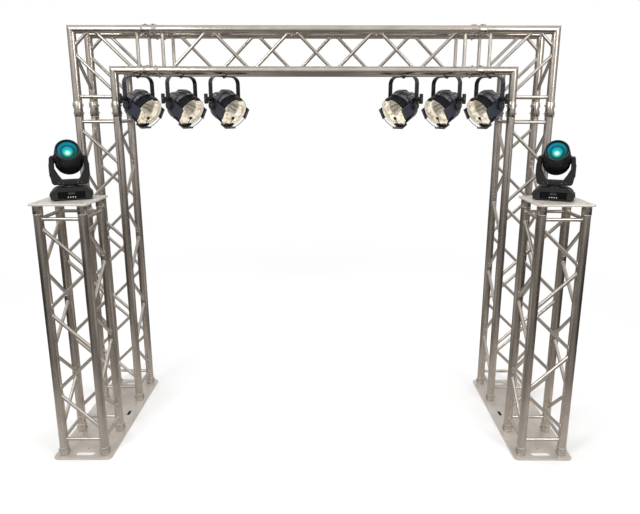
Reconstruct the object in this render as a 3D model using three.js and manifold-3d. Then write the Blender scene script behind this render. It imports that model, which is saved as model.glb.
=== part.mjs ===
// A truss DJ booth: an arch of square box truss over the DJ, two lower truss towers in front,
// six can lamps hung under the beam and a moving head light on top of each tower.
// Millimetres, Z up. X runs along the beam, Y from the audience to the back, and the origin
// is on the floor in the middle of the booth.
import * as THREE from 'three';
import { mergeVertices } from 'three/addons/utils/BufferGeometryUtils.js';
import Module from 'manifold-3d';

const wasm = await Module();
wasm.setup();

// Driving dimensions of the truss
const seatGap = 0.3;
const boothWidth = 3000;
const cornerLeg = 500;
const legLength = 2000;
const towerLength = 1500;
const boothDepth = 610;
const trussWidth = 290;
const chordDiameter = 50;
const chordBore = 42;
const braceDiameter = 20;
const braceGap = 8;
const rungInset = 77;
const zigzagInset = 110;
const footRungInset = 97;
const footZigzagInset = 152;
const spigotLength = 42;
const spigotBore = 24;
const cornerNode = 126;
const beamDiagonals = 7;
const legDiagonals = 7;
const towerDiagonals = 5;
const mitreLap = 0.02;
const mitreCutter = 150;

// Driving dimensions of the plates
const plateThickness = 10;
const plateOverhang = 25;
const topPlateOverhang = 12;
const plateCornerRadius = 28;
const topPlateCornerRadius = 18;
const handleLength = 115;
const handleWidth = 38;
const handleInset = 52;

// Driving dimensions of a can lamp; its own frame has the tilt pin along X and the light along -Y
const lampsPerSide = 3;
const lampInset = 146;
const lampSpacing = 267;
const lampYaw = 53;
const lampFan = 5;
const lampPitch = 31;
const tiltUp = 44;
const tiltDown = 56;
const yokeDrop = 176;
const yokeInside = 224;
const yokeBar = 5;
const yokeBarWidth = 32;
const yokeBendRadius = 46;
const yokeEyeRadius = 24;
const saddleHeight = 10;
const saddleLength = 36;
const saddleWidth = 34;
const saddleGrip = 8;
const hangBoltRadius = 5;
const hangHeadRadius = 9;
const hangHeadHeight = 7;
const hangNutRadius = 8;
const hangNutHeight = 6;
const hangNutLift = 4.4;
const canMouthRadius = 96;
const canMouthDepth = 74;
const canWaistRadius = 94;
const canWaistDepth = -24;
const canShoulderRadius = 66;
const canShoulderDepth = -68;
const canCapRadius = 42;
const canRearRadius = 34;
const canRearDepth = -108;
const canWall = 4;
const cheekSpread = 102;
const cheekHeight = 70;
const frameDepth = 107;
const frameWall = 4;
const frameLip = 10;
const frameWidth = 84;
const frameRoot = 16;
const lensSeatDepth = 56;
const lensPocketWall = 3;
const parNeckRadius = 20;
const parBackDepth = -46;
const parNeckDepth = -30;
const parWaistShare = 0.8;
const lensEdge = 4;
const lensCrownShare = 0.6;
const bezelRadius = 96;
const bezelHole = 86;
const bezelDepth = 14;
const latchLength = 24;
const latchWidth = 34;
const latchReach = 104;
const pinRadius = 7;
const farPinRise = 3;
const bossRadius = 17;
const quadrantRadius = 52;
const quadrantThickness = 5;
const quadrantMargin = 12;
const knobHubRadius = 12;
const knobHubLength = 29;
const knobThickness = 16;
const knobBreadth = 13;
const knobHeight = 58;
const knobRise = 40;
const knobStudRadius = 5;

// Driving dimensions of a moving head light; its own frame has the front along -Y
const headYaw = 24;
const headLift = 33;
const headSetback = 36;
const baseWidth = 212;
const baseDepth = 150;
const baseHeight = 72;
const baseSideHeight = 34;
const baseTopWidth = 100;
const baseShoulder = 8;
const baseFootHeight = 6;
const baseFootRadius = 12;
const baseFootInset = 26;
const panelWidth = 138;
const panelHeight = 38;
const panelRecess = 5;
const panelThickness = 3;
const panelBottom = 11;
const inletWidth = 32;
const inletHeight = 26;
const inletDepth = 16;
const inletOffset = 54;
const inletMiddle = 34;
const neckRadius = 34;
const neckPinRadius = 20;
const neckGap = 11;
const neckDepth = 22;
const armOuter = 204;
const armThickness = 25;
const armDepth = 78;
const yokeFloor = 24;
const yokeChamfer = 33;
const yokeChamferRise = 60;
const yokeFootChamfer = 14;
const armTopRise = 18;
const armTopChamfer = 12;
const tiltHeight = 224;
const hubRadius = 11;
const hubBossRadius = 24;
const hubDepth = 14;
const barrelRadius = 71;
const barrelNose = 62;
const barrelFront = 104;
const noseDepth = 30;
const barrelBack = -58;
const barrelRear = -97;
const barrelRearRadius = 52;
const glassRadius = 54;
const glassThickness = 6;
const glassInset = 8;
const glassDome = 5;
const glassCrownShare = 0.8;

// How finely each kind of round shape is cut
const chordSides = 8;
const braceSides = 4;
const lampSides = 11;
const boltSides = 6;
const headSides = 14;
const arcSteps = 2;
const quadrantSteps = 6;

// Places worked out from the driving dimensions
const quarterTurn = Math.PI / 2;
const radians = Math.PI / 180;
const chordRadius = chordDiameter / 2;
const braceRadius = braceDiameter / 2;
const boreRadius = chordBore / 2;
const chordPitch = trussWidth / 2 - chordRadius;
const spigotRadius = boreRadius - seatGap;
const halfGap = seatGap / 2;
const frontRow = -boothDepth / 2;
const backRow = boothDepth / 2;
const towerX = (boothWidth - trussWidth) / 2;
const beamEnd = boothWidth / 2 - cornerLeg;
const innerLegX = towerX - chordPitch;
const lampCentres = Array.from({ length: lampsPerSide }, (_, n) =>
  innerLegX - lampInset - (lampsPerSide - 1 - n) * lampSpacing,
);
const legTop = plateThickness + legLength;
const archTop = legTop + cornerLeg;
const towerTop = plateThickness + towerLength;
const frontChordY = backRow - chordPitch;
const lowChordZ = archTop - trussWidth + chordRadius;
const yokeTopZ = lowChordZ - chordRadius - saddleHeight;
const lampZ = yokeTopZ - yokeDrop;
const armInside = yokeInside / 2;
const armOutside = armInside + yokeBar;
const headBaseZ = towerTop + plateThickness;
const plateWidth = trussWidth + 2 * plateOverhang;
const topPlateWidth = trussWidth + 2 * topPlateOverhang;
const plateLength = boothDepth + plateWidth;
const pocketRadius = canMouthRadius - lensPocketWall;
const lensSeatRadius = pocketRadius - lensPocketWall;
const quadrantFrom = quarterTurn - (lampPitch + tiltDown + quadrantMargin) * radians;
const quadrantTo = quarterTurn - (lampPitch - tiltUp - quadrantMargin) * radians;

// A closed three.js shape as a solid that can be joined and cut
function toSolid(geometry) {
  geometry.deleteAttribute('normal');
  geometry.deleteAttribute('uv');
  const merged = mergeVertices(geometry);
  const vertProperties = new Float32Array(merged.attributes.position.array);
  const triangles = [];
  for (let n = 0; n < merged.index.count; n += 3) {
    const corners = [0, 1, 2].map((k) => merged.index.getX(n + k));
    if (new Set(corners).size === corners.length) triangles.push(...corners);
  }
  const triVerts = new Uint32Array(triangles);
  return new wasm.Manifold(new wasm.Mesh({ numProp: 3, vertProperties, triVerts }));
}

function toGeometry(solid) {
  const mesh = solid.getMesh();
  const geometry = new THREE.BufferGeometry();
  geometry.setAttribute('position', new THREE.BufferAttribute(mesh.vertProperties, 3));
  geometry.setIndex(new THREE.BufferAttribute(mesh.triVerts, 1));
  geometry.computeVertexNormals();
  return geometry;
}

function join(solids) {
  return solids.reduce((whole, solid) => whole.add(solid));
}

function cut(solid, tools) {
  return tools.reduce((left, tool) => left.subtract(tool), solid);
}

function point(x, y, z) {
  return new THREE.Vector3(x, y, z);
}

// A straight round bar between two points
function bar(from, to, radius, sides) {
  const along = new THREE.Vector3().subVectors(to, from);
  const geometry = new THREE.CylinderGeometry(radius, radius, along.length(), sides);
  const turn = new THREE.Quaternion().setFromUnitVectors(point(0, 1, 0), along.normalize());
  geometry.applyQuaternion(turn);
  geometry.translate(...new THREE.Vector3().addVectors(from, to).divideScalar(2));
  return toSolid(geometry);
}

// How wide a faceted hole is so that a pin of the given radius turns in it
function clearHole(radius, sides) {
  return (radius + seatGap) / Math.cos(Math.PI / sides);
}

function block(width, depth, height, x, y, z) {
  const geometry = new THREE.BoxGeometry(width, depth, height);
  geometry.translate(x, y, z);
  return toSolid(geometry);
}

// A solid turned round the line of a light, from pairs of radius and distance towards the front
function turned(profile, sides) {
  const points = profile.map(([radius, forward]) => new THREE.Vector2(radius, forward));
  const geometry = new THREE.LatheGeometry(points, sides);
  geometry.rotateZ(2 * quarterTurn);
  return toSolid(geometry);
}

// An outline in X and Z pushed out along Y, with its middle on Y = 0
function pushedAlongY(shape, depth) {
  const geometry = new THREE.ExtrudeGeometry(shape, {
    depth,
    bevelEnabled: false,
    curveSegments: arcSteps,
  });
  geometry.translate(0, 0, -depth / 2);
  geometry.rotateX(quarterTurn);
  return toSolid(geometry);
}

// A plate with rounded corners, lying on Z = 0
function roundedPlate(width, depth, radius, holes) {
  const right = width / 2;
  const back = depth / 2;
  const shape = new THREE.Shape();
  shape.absarc(right - radius, -back + radius, radius, -quarterTurn, 0);
  shape.absarc(right - radius, back - radius, radius, 0, quarterTurn);
  shape.absarc(-right + radius, back - radius, radius, quarterTurn, 2 * quarterTurn);
  shape.absarc(-right + radius, -back + radius, radius, 2 * quarterTurn, 3 * quarterTurn);
  shape.holes.push(...holes);
  return toSolid(new THREE.ExtrudeGeometry(shape, {
    depth: plateThickness,
    bevelEnabled: false,
    curveSegments: arcSteps,
  }));
}

function handleHole(y) {
  const end = handleWidth / 2;
  const reach = handleLength / 2 - end;
  const hole = new THREE.Path();
  hole.absarc(reach, y, end, -quarterTurn, quarterTurn);
  hole.absarc(-reach, y, end, quarterTurn, 3 * quarterTurn);
  return hole;
}

// The four chord lines of a box truss, anticlockwise from the front left one
const chordCorners = [
  [-chordPitch, -chordPitch],
  [chordPitch, -chordPitch],
  [chordPitch, chordPitch],
  [-chordPitch, chordPitch],
];

// Two rungs and a zigzag of diagonals between two neighbouring chords of a straight truss
function bracedFace(here, next, zigzag) {
  const pitch = (zigzag.high - zigzag.low) / zigzag.diagonals;
  const bars = zigzag.rungs.map((z) =>
    bar(point(...here, z), point(...next, z), braceRadius, braceSides),
  );
  for (let n = 0; n < zigzag.diagonals; n += 1) {
    const top = zigzag.high - n * pitch - braceGap;
    const bottom = zigzag.high - (n + 1) * pitch + braceGap;
    const [start, end] = n % 2 === 0 ? [here, next] : [next, here];
    bars.push(bar(point(...start, top), point(...end, bottom), braceRadius, braceSides));
  }
  return bars;
}

// One welded length of box truss, standing on Z = 0, with its chords open at both ends
function straightTruss(length, zigzag) {
  const chords = chordCorners.map((place) =>
    bar(point(...place, halfGap), point(...place, length - halfGap), chordRadius, chordSides),
  );
  const braces = chordCorners.flatMap((place, n) =>
    bracedFace(place, chordCorners[(n + 1) % chordCorners.length], zigzag),
  );
  const bores = chordCorners.map((place) =>
    bar(point(...place, -seatGap), point(...place, length + seatGap), boreRadius, chordSides),
  );
  return cut(join([...chords, ...braces]), bores);
}

// The beam lies along X; each hanging bolt goes into a hole under its front lower chord
function beamTruss() {
  const length = 2 * beamEnd;
  const truss = straightTruss(length, {
    low: zigzagInset,
    high: length - zigzagInset,
    rungs: [rungInset, length - rungInset],
    diagonals: beamDiagonals,
  });
  const places = lampCentres.filter((x) => x < beamEnd).flatMap((x) => [beamEnd - x, beamEnd + x]);
  const holes = places.map((z) => {
    const inside = point(chordPitch, -chordPitch, z);
    const outside = point(chordPitch + chordDiameter, -chordPitch, z);
    return bar(inside, outside, clearHole(hangBoltRadius, boltSides), boltSides);
  });
  return cut(truss, holes);
}

function standingTruss(length, diagonals) {
  return straightTruss(length, {
    low: footZigzagInset,
    high: length - zigzagInset,
    rungs: [footRungInset, length - rungInset],
    diagonals,
  });
}

// One arm of a mitred pair of chords, cut at the plane that halves the corner
function mitredArm(start, corner, other) {
  const along = new THREE.Vector3().subVectors(corner, start).normalize();
  const across = new THREE.Vector3().subVectors(corner, other).normalize();
  const past = corner.clone().addScaledVector(along, chordDiameter);
  const side = mitreCutter;
  const cutter = new THREE.BoxGeometry(side, side, side);
  cutter.translate(0, 0, side / 2 + mitreLap);
  const normal = new THREE.Vector3().subVectors(along, across).normalize();
  cutter.applyQuaternion(new THREE.Quaternion().setFromUnitVectors(point(0, 0, 1), normal));
  cutter.translate(...corner);
  return bar(start, past, chordRadius, chordSides).subtract(toSolid(cutter));
}

// Where one chord of a corner block ends: a hollow spigot, and the bores that are cut behind it
function chordEnd(face, outward, corner) {
  const along = (distance) => face.clone().addScaledVector(outward, distance);
  return {
    spigot: bar(along(-spigotLength / 2), along(spigotLength), spigotRadius, chordSides),
    bores: [
      bar(along(-spigotLength / 2), corner, boreRadius, chordSides),
      bar(along(-spigotLength), along(spigotLength + seatGap), spigotBore / 2, boltSides),
    ],
  };
}

// The bars of a corner block, for the side given as -1 or 1, as pairs of ends
function cornerBars(side, outer, inner) {
  const [front, back] = [frontChordY, backRow + chordPitch];
  const rungX = side * (beamEnd + rungInset);
  const rungZ = legTop + rungInset;
  const near = cornerNode - braceGap;
  const far = cornerNode + braceGap;
  const across = cornerNode + 2 * chordPitch;
  const tie = near - braceGap;
  const bars = [
    [point(inner.x, front, inner.z), point(inner.x, back, inner.z)],
    [point(outer.x, front, outer.z - near), point(outer.x, back, outer.z - across)],
    [point(outer.x - side * near, front, outer.z), point(outer.x - side * across, back, outer.z)],
  ];
  for (const y of [front, back]) {
    bars.push(
      [point(rungX, y, inner.z), point(rungX, y, outer.z)],
      [point(outer.x, y, rungZ), point(inner.x, y, rungZ)],
      [point(outer.x, y, outer.z - tie), point(outer.x - side * tie, y, outer.z)],
      [point(outer.x - side * far, y, outer.z), point(inner.x - side * far, y, inner.z)],
      [point(outer.x, y, outer.z - far), point(inner.x, y, inner.z - far)],
    );
  }
  for (const end of [outer, inner]) {
    bars.push(
      [point(rungX, front, end.z), point(rungX, back, end.z)],
      [point(end.x, front, rungZ), point(end.x, back, rungZ)],
    );
  }
  return bars;
}

// One welded corner block of the arch, with a spigot for each chord that it meets
function cornerBlock(side) {
  const toBeam = point(-side, 0, 0);
  const toLeg = point(0, 0, -1);
  const outer = point(side * (boothWidth / 2 - chordRadius), 0, archTop - chordRadius);
  const inner = point(outer.x - side * 2 * chordPitch, 0, outer.z - 2 * chordPitch);
  const parts = cornerBars(side, outer, inner).map(([from, to]) =>
    bar(from, to, braceRadius, braceSides),
  );
  const holes = [];
  for (const y of [frontChordY, backRow + chordPitch]) {
    for (const end of [outer, inner]) {
      const corner = point(end.x, y, end.z);
      const beamFace = point(side * (beamEnd + halfGap), y, end.z);
      const legFace = point(end.x, y, legTop + halfGap);
      const ends = [chordEnd(beamFace, toBeam, corner), chordEnd(legFace, toLeg, corner)];
      parts.push(mitredArm(beamFace, corner, legFace), mitredArm(legFace, corner, beamFace));
      parts.push(...ends.map((each) => each.spigot));
      holes.push(...ends.flatMap((each) => each.bores));
    }
  }
  for (const x of lampCentres.filter((centre) => centre > beamEnd)) {
    const inside = point(side * x, frontChordY, inner.z);
    const outside = point(side * x, frontChordY, inner.z - chordDiameter);
    holes.push(bar(inside, outside, clearHole(hangBoltRadius, boltSides), boltSides));
  }
  return cut(join(parts), holes);
}

// The floor plate that a leg and a tower share, with a spigot for each of their chords
function basePlate() {
  const handle = plateLength / 2 - handleInset;
  const holes = [handleHole(-handle), handleHole(handle)];
  const plate = roundedPlate(plateWidth, plateLength, plateCornerRadius, holes);
  const spigots = [frontRow, backRow].flatMap((row) =>
    chordCorners.map(([x, y]) => {
      const root = point(x, row + y, plateThickness / 2);
      const tip = point(x, row + y, plateThickness + spigotLength);
      return bar(root, tip, spigotRadius, chordSides);
    }),
  );
  return join([plate, ...spigots]);
}

// The small plate on top of a tower, with four spigots under it
function topPlate() {
  const spigots = chordCorners.map(([x, y]) =>
    bar(point(x, y, plateThickness / 2), point(x, y, -spigotLength), spigotRadius, chordSides),
  );
  return join([roundedPlate(topPlateWidth, topPlateWidth, topPlateCornerRadius, []), ...spigots]);
}

// The saddle under a chord, with the bolt that goes up through the yoke into the chord
function hangingBolt() {
  const chordLine = saddleHeight + chordRadius;
  const boreFloor = chordLine - boreRadius;
  const headTop = -yokeBar - 2 * seatGap;
  const reach = saddleLength / 2;
  const rise = saddleHeight + saddleGrip;
  const saddle = cut(block(saddleLength, saddleWidth, rise, 0, 0, rise / 2), [
    bar(point(-reach - seatGap, 0, chordLine), point(reach + seatGap, 0, chordLine),
      chordRadius + seatGap, chordSides),
  ]);
  const nutFloor = boreFloor + hangNutLift;
  const nutTop = nutFloor + hangNutHeight;
  return join([
    saddle,
    bar(point(0, 0, headTop - hangHeadHeight / 2), point(0, 0, nutTop), hangBoltRadius, boltSides),
    bar(point(0, 0, nutFloor), point(0, 0, nutTop), hangNutRadius, boltSides),
    bar(point(0, 0, headTop - hangHeadHeight), point(0, 0, headTop), hangHeadRadius, boltSides),
  ]);
}

// A flat bar bent into an upside-down U with round eyes at its ends, and holes for the bolt,
// the tilt pins and the knob
function lampYoke(knobSide) {
  const bend = yokeBendRadius;
  const outline = new THREE.Shape();
  outline.moveTo(armOutside, 0);
  outline.absarc(armOutside - bend, yokeDrop - bend, bend, 0, quarterTurn);
  outline.absarc(bend - armOutside, yokeDrop - bend, bend, quarterTurn, 2 * quarterTurn);
  outline.lineTo(-armOutside, 0);
  outline.lineTo(-armInside, 0);
  outline.absarc(bend - armOutside, yokeDrop - bend, bend - yokeBar, 2 * quarterTurn, quarterTurn, true);
  outline.absarc(armOutside - bend, yokeDrop - bend, bend - yokeBar, quarterTurn, 0, true);
  outline.lineTo(armInside, 0);
  const pin = point(armOutside + yokeBar, 0, 0);
  const eyes = [-1, 1].map((side) =>
    bar(point(side * armInside, 0, 0), point(side * armOutside, 0, 0), yokeEyeRadius, chordSides),
  );
  return cut(join([pushedAlongY(outline, yokeBarWidth), ...eyes]), [
    bar(point(0, 0, yokeDrop - 2 * yokeBar), point(0, 0, yokeDrop + yokeBar),
      clearHole(hangBoltRadius, boltSides), boltSides),
    bar(pin.clone().negate(), pin, clearHole(pinRadius, boltSides), boltSides),
    bar(point(0, 0, knobRise), point(knobSide * pin.x, 0, knobRise),
      clearHole(knobStudRadius, boltSides), boltSides),
  ]);
}

// The inside of the can behind the lens, from the seat to the closed back
const canHollow = [
  [lensSeatRadius - canWall, canWaistDepth],
  [canShoulderRadius - canWall, canShoulderDepth + canWall],
  [0, canShoulderDepth + canWall],
];

// The can itself, turned round the line of the light and open at the front
function canShell() {
  return turned([
    [0, canRearDepth],
    [canRearRadius, canRearDepth],
    [canCapRadius, canShoulderDepth],
    [canShoulderRadius, canShoulderDepth],
    [canWaistRadius, canWaistDepth],
    [canMouthRadius, canMouthDepth],
    [pocketRadius, canMouthDepth],
    [pocketRadius, lensSeatDepth],
    [lensSeatRadius, lensSeatDepth],
    ...canHollow,
  ], lampSides);
}

// The sector that the knob clamps: it reaches from the top of the can to its back, where the
// knob passes it as the can tilts
function quadrant(knobSide) {
  const outline = new THREE.Shape();
  outline.moveTo(0, 0);
  outline.absarc(0, 0, quadrantRadius, quadrantFrom, quadrantTo);
  const geometry = new THREE.ExtrudeGeometry(outline, {
    depth: cheekSpread + quadrantThickness - canWaistRadius,
    bevelEnabled: false,
    curveSegments: quadrantSteps,
  });
  geometry.translate(0, 0, canWaistRadius);
  geometry.rotateX(quarterTurn);
  geometry.rotateZ(quarterTurn);
  const sector = toSolid(geometry);
  return knobSide < 0 ? sector.mirror([1, 0, 0]) : sector;
}

// The holder for a colour frame in front of the can: the ends of both cheeks and a tray below,
// each with a lip turned inwards
function frameHolder() {
  const length = frameDepth - lensSeatDepth;
  const middle = -(lensSeatDepth + length / 2);
  const lipFace = -(frameDepth - frameWall / 2);
  const wall = cheekSpread - frameWall / 2;
  const lip = cheekSpread - frameLip / 2;
  const sides = [-1, 1].flatMap((side) => [
    block(frameWall, length, cheekHeight, side * wall, middle, 0),
    block(frameLip, frameWall, cheekHeight, side * lip, lipFace, 0),
  ]);
  const root = -(canMouthDepth - frameRoot / 2);
  return join([
    ...sides,
    block(frameWidth, length, frameWall, 0, middle, -wall),
    block(frameWidth, frameWall, frameLip, 0, lipFace, -lip),
    block(frameWidth, frameRoot, frameRoot, 0, root, -(cheekSpread - frameRoot / 2)),
  ]);
}

// The die-cast can with its flat cheeks, the frame holder in front, the quadrant and the tilt pins
function canHousing(knobSide) {
  const cheeks = join([
    block(2 * cheekSpread, canMouthDepth, cheekHeight, 0, -canMouthDepth / 2, 0),
    bar(point(-cheekSpread, 0, 0), point(cheekSpread, 0, 0), cheekHeight / 2, chordSides),
    frameHolder(),
  ]);
  const hollow = turned([
    ...canHollow.toReversed(),
    [lensSeatRadius, lensSeatDepth],
    [pocketRadius, lensSeatDepth],
    [pocketRadius, canMouthDepth + canWall],
    [0, canMouthDepth + canWall],
  ], lampSides);
  const across = (x) => point(knobSide * x, 0, 0);
  const bossFace = armInside - seatGap;
  return join([
    canShell(),
    cheeks.subtract(hollow),
    quadrant(knobSide),
    bar(across(-bossFace), across(-canWaistRadius), bossRadius, boltSides),
    bar(across(canWaistRadius), across(bossFace), bossRadius, boltSides),
    bar(across(-armOutside - farPinRise), across(-canWaistRadius), pinRadius, boltSides),
    bar(across(canWaistRadius), across(armOutside + farPinRise), pinRadius, boltSides),
  ]);
}

// The sealed lamp: a lens and the reflector behind it in one piece
function sealedLamp() {
  const rim = pocketRadius - seatGap;
  const back = lensSeatDepth + seatGap;
  const face = canMouthDepth - seatGap;
  const bowlRadius = lensSeatRadius - lensPocketWall;
  return turned([
    [0, parBackDepth],
    [parNeckRadius, parBackDepth],
    [parNeckRadius, parNeckDepth],
    [bowlRadius * parWaistShare, 0],
    [bowlRadius, back],
    [rim, back],
    [rim, face - lensEdge],
    [rim * lensCrownShare, face],
    [0, face],
  ], lampSides);
}

// The ring that holds the lamp in, with the latch that keeps a colour frame in its holder
function canBezel() {
  const back = canMouthDepth + seatGap;
  const front = back + bezelDepth;
  const ring = turned([
    [bezelHole, back],
    [bezelRadius, back],
    [bezelRadius, front],
    [bezelHole, front],
    [bezelHole, back],
  ], lampSides);
  const inner = (bezelRadius + bezelHole) / 2;
  const latch = block(latchWidth, latchLength, latchReach - inner,
    0, -(back + latchLength / 2), (latchReach + inner) / 2);
  return join([ring, latch]);
}

// The upright hand lever on one arm of the yoke, with its hub and the stud that presses on the
// quadrant
function tiltKnob(knobSide) {
  const inner = armOutside + seatGap;
  const hubEnd = inner + knobHubLength;
  const at = (x) => point(knobSide * x, 0, knobRise);
  const studEnd = cheekSpread + quadrantThickness + seatGap;
  return join([
    block(knobThickness, knobBreadth, knobHeight, knobSide * (hubEnd + knobThickness / 2), 0, knobRise),
    bar(at(inner), at(hubEnd + knobThickness / 2), knobHubRadius, chordSides),
    bar(at(studEnd), at(inner + knobHubLength / 2), knobStudRadius, boltSides),
  ]);
}

// The base of a moving head light: a low case on four feet
function headBase() {
  const foot = baseFootHeight;
  const side = baseWidth / 2;
  const top = baseTopWidth / 2;
  const outline = new THREE.Shape();
  outline.moveTo(-side, foot);
  outline.lineTo(side, foot);
  outline.lineTo(side, baseSideHeight);
  outline.quadraticCurveTo(side - baseShoulder, baseHeight - baseShoulder, top, baseHeight);
  outline.lineTo(-top, baseHeight);
  outline.quadraticCurveTo(baseShoulder - side, baseHeight - baseShoulder, -side, baseSideHeight);
  const feet = [-1, 1].flatMap((x) =>
    [-1, 1].map((y) => {
      const footX = x * (side - baseFootInset);
      const footY = y * (baseDepth / 2 - baseFootInset);
      return bar(point(footX, footY, 0), point(footX, footY, 2 * foot), baseFootRadius, boltSides);
    }),
  );
  const front = -baseDepth / 2;
  return cut(join([pushedAlongY(outline, baseDepth), ...feet]), [
    block(panelWidth + 2 * seatGap, 2 * panelRecess, panelHeight + 2 * seatGap,
      0, front, panelBottom + panelHeight / 2),
    block(inletWidth, 2 * inletDepth, inletHeight, inletOffset, -front, inletMiddle),
    bar(point(0, 0, baseHeight - neckDepth), point(0, 0, baseHeight + foot),
      clearHole(neckPinRadius, chordSides), chordSides),
  ]);
}

function displayPanel() {
  const back = -baseDepth / 2 + panelRecess - seatGap;
  return block(panelWidth, panelThickness, panelHeight,
    0, back - panelThickness / 2, panelBottom + panelHeight / 2);
}

// The fork that turns on the base and carries the head between its arms
function headYoke() {
  const floor = baseHeight + neckGap;
  const outside = armOuter / 2;
  const inside = outside - armThickness;
  const inFloor = floor + yokeFloor;
  const top = tiltHeight + armTopRise;
  const outline = new THREE.Shape();
  outline.moveTo(yokeFootChamfer - outside, floor);
  outline.lineTo(outside - yokeFootChamfer, floor);
  outline.lineTo(outside, floor + yokeFootChamfer);
  outline.lineTo(outside, top - armTopChamfer);
  outline.lineTo(outside - armTopChamfer, top);
  outline.lineTo(inside, top);
  outline.lineTo(inside, inFloor + yokeChamferRise);
  outline.lineTo(inside - yokeChamfer, inFloor);
  outline.lineTo(yokeChamfer - inside, inFloor);
  outline.lineTo(-inside, inFloor + yokeChamferRise);
  outline.lineTo(-inside, top);
  outline.lineTo(armTopChamfer - outside, top);
  outline.lineTo(-outside, top - armTopChamfer);
  outline.lineTo(-outside, floor + yokeFootChamfer);
  const hub = point(inside + hubDepth + seatGap, 0, tiltHeight);
  const otherHub = point(-hub.x, 0, tiltHeight);
  const pinEnd = point(0, 0, baseHeight - neckDepth + seatGap);
  return join([
    pushedAlongY(outline, armDepth),
    bar(point(0, 0, baseHeight + seatGap), point(0, 0, inFloor), neckRadius, chordSides),
    bar(pinEnd, point(0, 0, inFloor), neckPinRadius, chordSides),
  ]).subtract(bar(otherHub, hub, clearHole(hubRadius, boltSides), boltSides));
}

// The barrel of a moving head, with its tilt hubs and the pocket that the front glass sits in
function headBarrel() {
  const inside = armOuter / 2 - armThickness;
  const pocket = barrelFront - glassInset - glassThickness - seatGap;
  const barrel = turned([
    [0, barrelRear],
    [barrelRearRadius, barrelRear],
    [barrelRadius, barrelBack],
    [barrelRadius, noseDepth],
    [barrelNose, barrelFront],
    [glassRadius + seatGap, barrelFront],
    [glassRadius + seatGap, pocket],
    [0, pocket],
  ], headSides);
  const end = inside + hubDepth;
  const boss = inside - seatGap;
  return join([
    barrel,
    bar(point(-boss, 0, 0), point(boss, 0, 0), hubBossRadius, chordSides),
    bar(point(-end, 0, 0), point(end, 0, 0), hubRadius, boltSides),
  ]);
}

function frontGlass() {
  const back = barrelFront - glassInset - glassThickness;
  const edge = back + glassThickness;
  return turned([
    [0, back],
    [glassRadius, back],
    [glassRadius, edge],
    [glassRadius * glassCrownShare, edge + glassDome],
    [0, edge + glassDome],
  ], headSides);
}

function finish(color, roughness, metalness) {
  return { color, roughness, metalness };
}

const finishes = {
  aluminium: finish(0xb5aca2, 0.38, 1),
  plate: finish(0xc9c3ba, 0.42, 1),
  steel: finish(0x8d8f92, 0.35, 1),
  blackPaint: finish(0x1b1b20, 0.55, 0),
  blackPlastic: finish(0x121215, 0.6, 0),
  lampGlass: finish(0xd9d4c4, 0.12, 0.4),
  tealGlass: finish(0x58e0cf, 0.08, 0),
  panel: finish(0x26282d, 0.3, 0),
};

function named(name, solid, look) {
  const mesh = new THREE.Mesh(toGeometry(solid), new THREE.MeshStandardMaterial(look));
  mesh.name = name;
  return mesh;
}

function placed(object, x, y, z) {
  object.position.set(x, y, z);
  return object;
}

// One can lamp, hung at a place along the front lower chord and turned to the middle
function canLamp(number, x) {
  const side = Math.sign(x);
  const tilting = new THREE.Group();
  tilting.rotation.x = lampPitch * radians;
  tilting.add(
    named(`lamp_${number}_housing`, canHousing(side), finishes.blackPaint),
    named(`lamp_${number}_sealed_lamp`, sealedLamp(), finishes.lampGlass),
    named(`lamp_${number}_bezel`, canBezel(), finishes.blackPaint),
  );
  const swinging = placed(new THREE.Group(), x, frontChordY, lampZ);
  const yaw = lampYaw + lampCentres.indexOf(Math.abs(x)) * lampFan;
  swinging.rotation.z = -side * yaw * radians;
  swinging.add(
    named(`lamp_${number}_yoke`, lampYoke(side), finishes.blackPaint),
    named(`lamp_${number}_tilt_knob`, tiltKnob(side), finishes.blackPlastic),
    tilting,
  );
  const bolt = named(`lamp_${number}_hanging_bolt`, hangingBolt(), finishes.steel);
  return [swinging, placed(bolt, x, frontChordY, yokeTopZ + seatGap)];
}

// One moving head light, standing on a tower and turned to the audience in the middle
function movingHead(side, sideName) {
  const tilting = placed(new THREE.Group(), 0, 0, tiltHeight);
  tilting.rotation.x = -headLift * radians;
  tilting.add(
    named(`head_barrel_${sideName}`, headBarrel(), finishes.blackPaint),
    named(`head_glass_${sideName}`, frontGlass(), finishes.tealGlass),
  );
  const light = placed(new THREE.Group(), side * towerX, frontRow + headSetback, headBaseZ + halfGap);
  light.rotation.z = -side * headYaw * radians;
  light.add(
    named(`head_base_${sideName}`, headBase(), finishes.blackPlastic),
    named(`head_display_${sideName}`, displayPanel(), finishes.panel),
    named(`head_yoke_${sideName}`, headYoke(), finishes.blackPlastic),
    tilting,
  );
  return light;
}

// Everything on one side of the booth
function sideOfBooth(side, sideName) {
  const x = side * towerX;
  const leg = standingTruss(legLength, legDiagonals);
  const tower = standingTruss(towerLength, towerDiagonals);
  const aluminium = (name, solid) => named(`${name}_${sideName}`, solid, finishes.aluminium);
  const plate = (name, solid) => named(`${name}_${sideName}`, solid, finishes.plate);
  return [
    placed(plate('base_plate', basePlate()), x, 0, 0),
    placed(aluminium('leg_truss', leg), x, backRow, plateThickness),
    placed(aluminium('tower_truss', tower), x, frontRow, plateThickness),
    placed(plate('top_plate', topPlate()), x, frontRow, towerTop),
    aluminium('corner_block', cornerBlock(side)),
    movingHead(side, sideName),
  ];
}

const booth = new THREE.Group();
const beam = named('beam_truss', beamTruss(), finishes.aluminium);
beam.rotation.y = quarterTurn;
booth.add(placed(beam, -beamEnd, backRow, archTop - trussWidth / 2));
booth.add(...sideOfBooth(-1, 'left'), ...sideOfBooth(1, 'right'));
const lampPlaces = [...lampCentres.map((x) => -x).reverse(), ...lampCentres];
lampPlaces.forEach((x, n) => booth.add(...canLamp(n + 1, x)));

export default booth;
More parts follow.
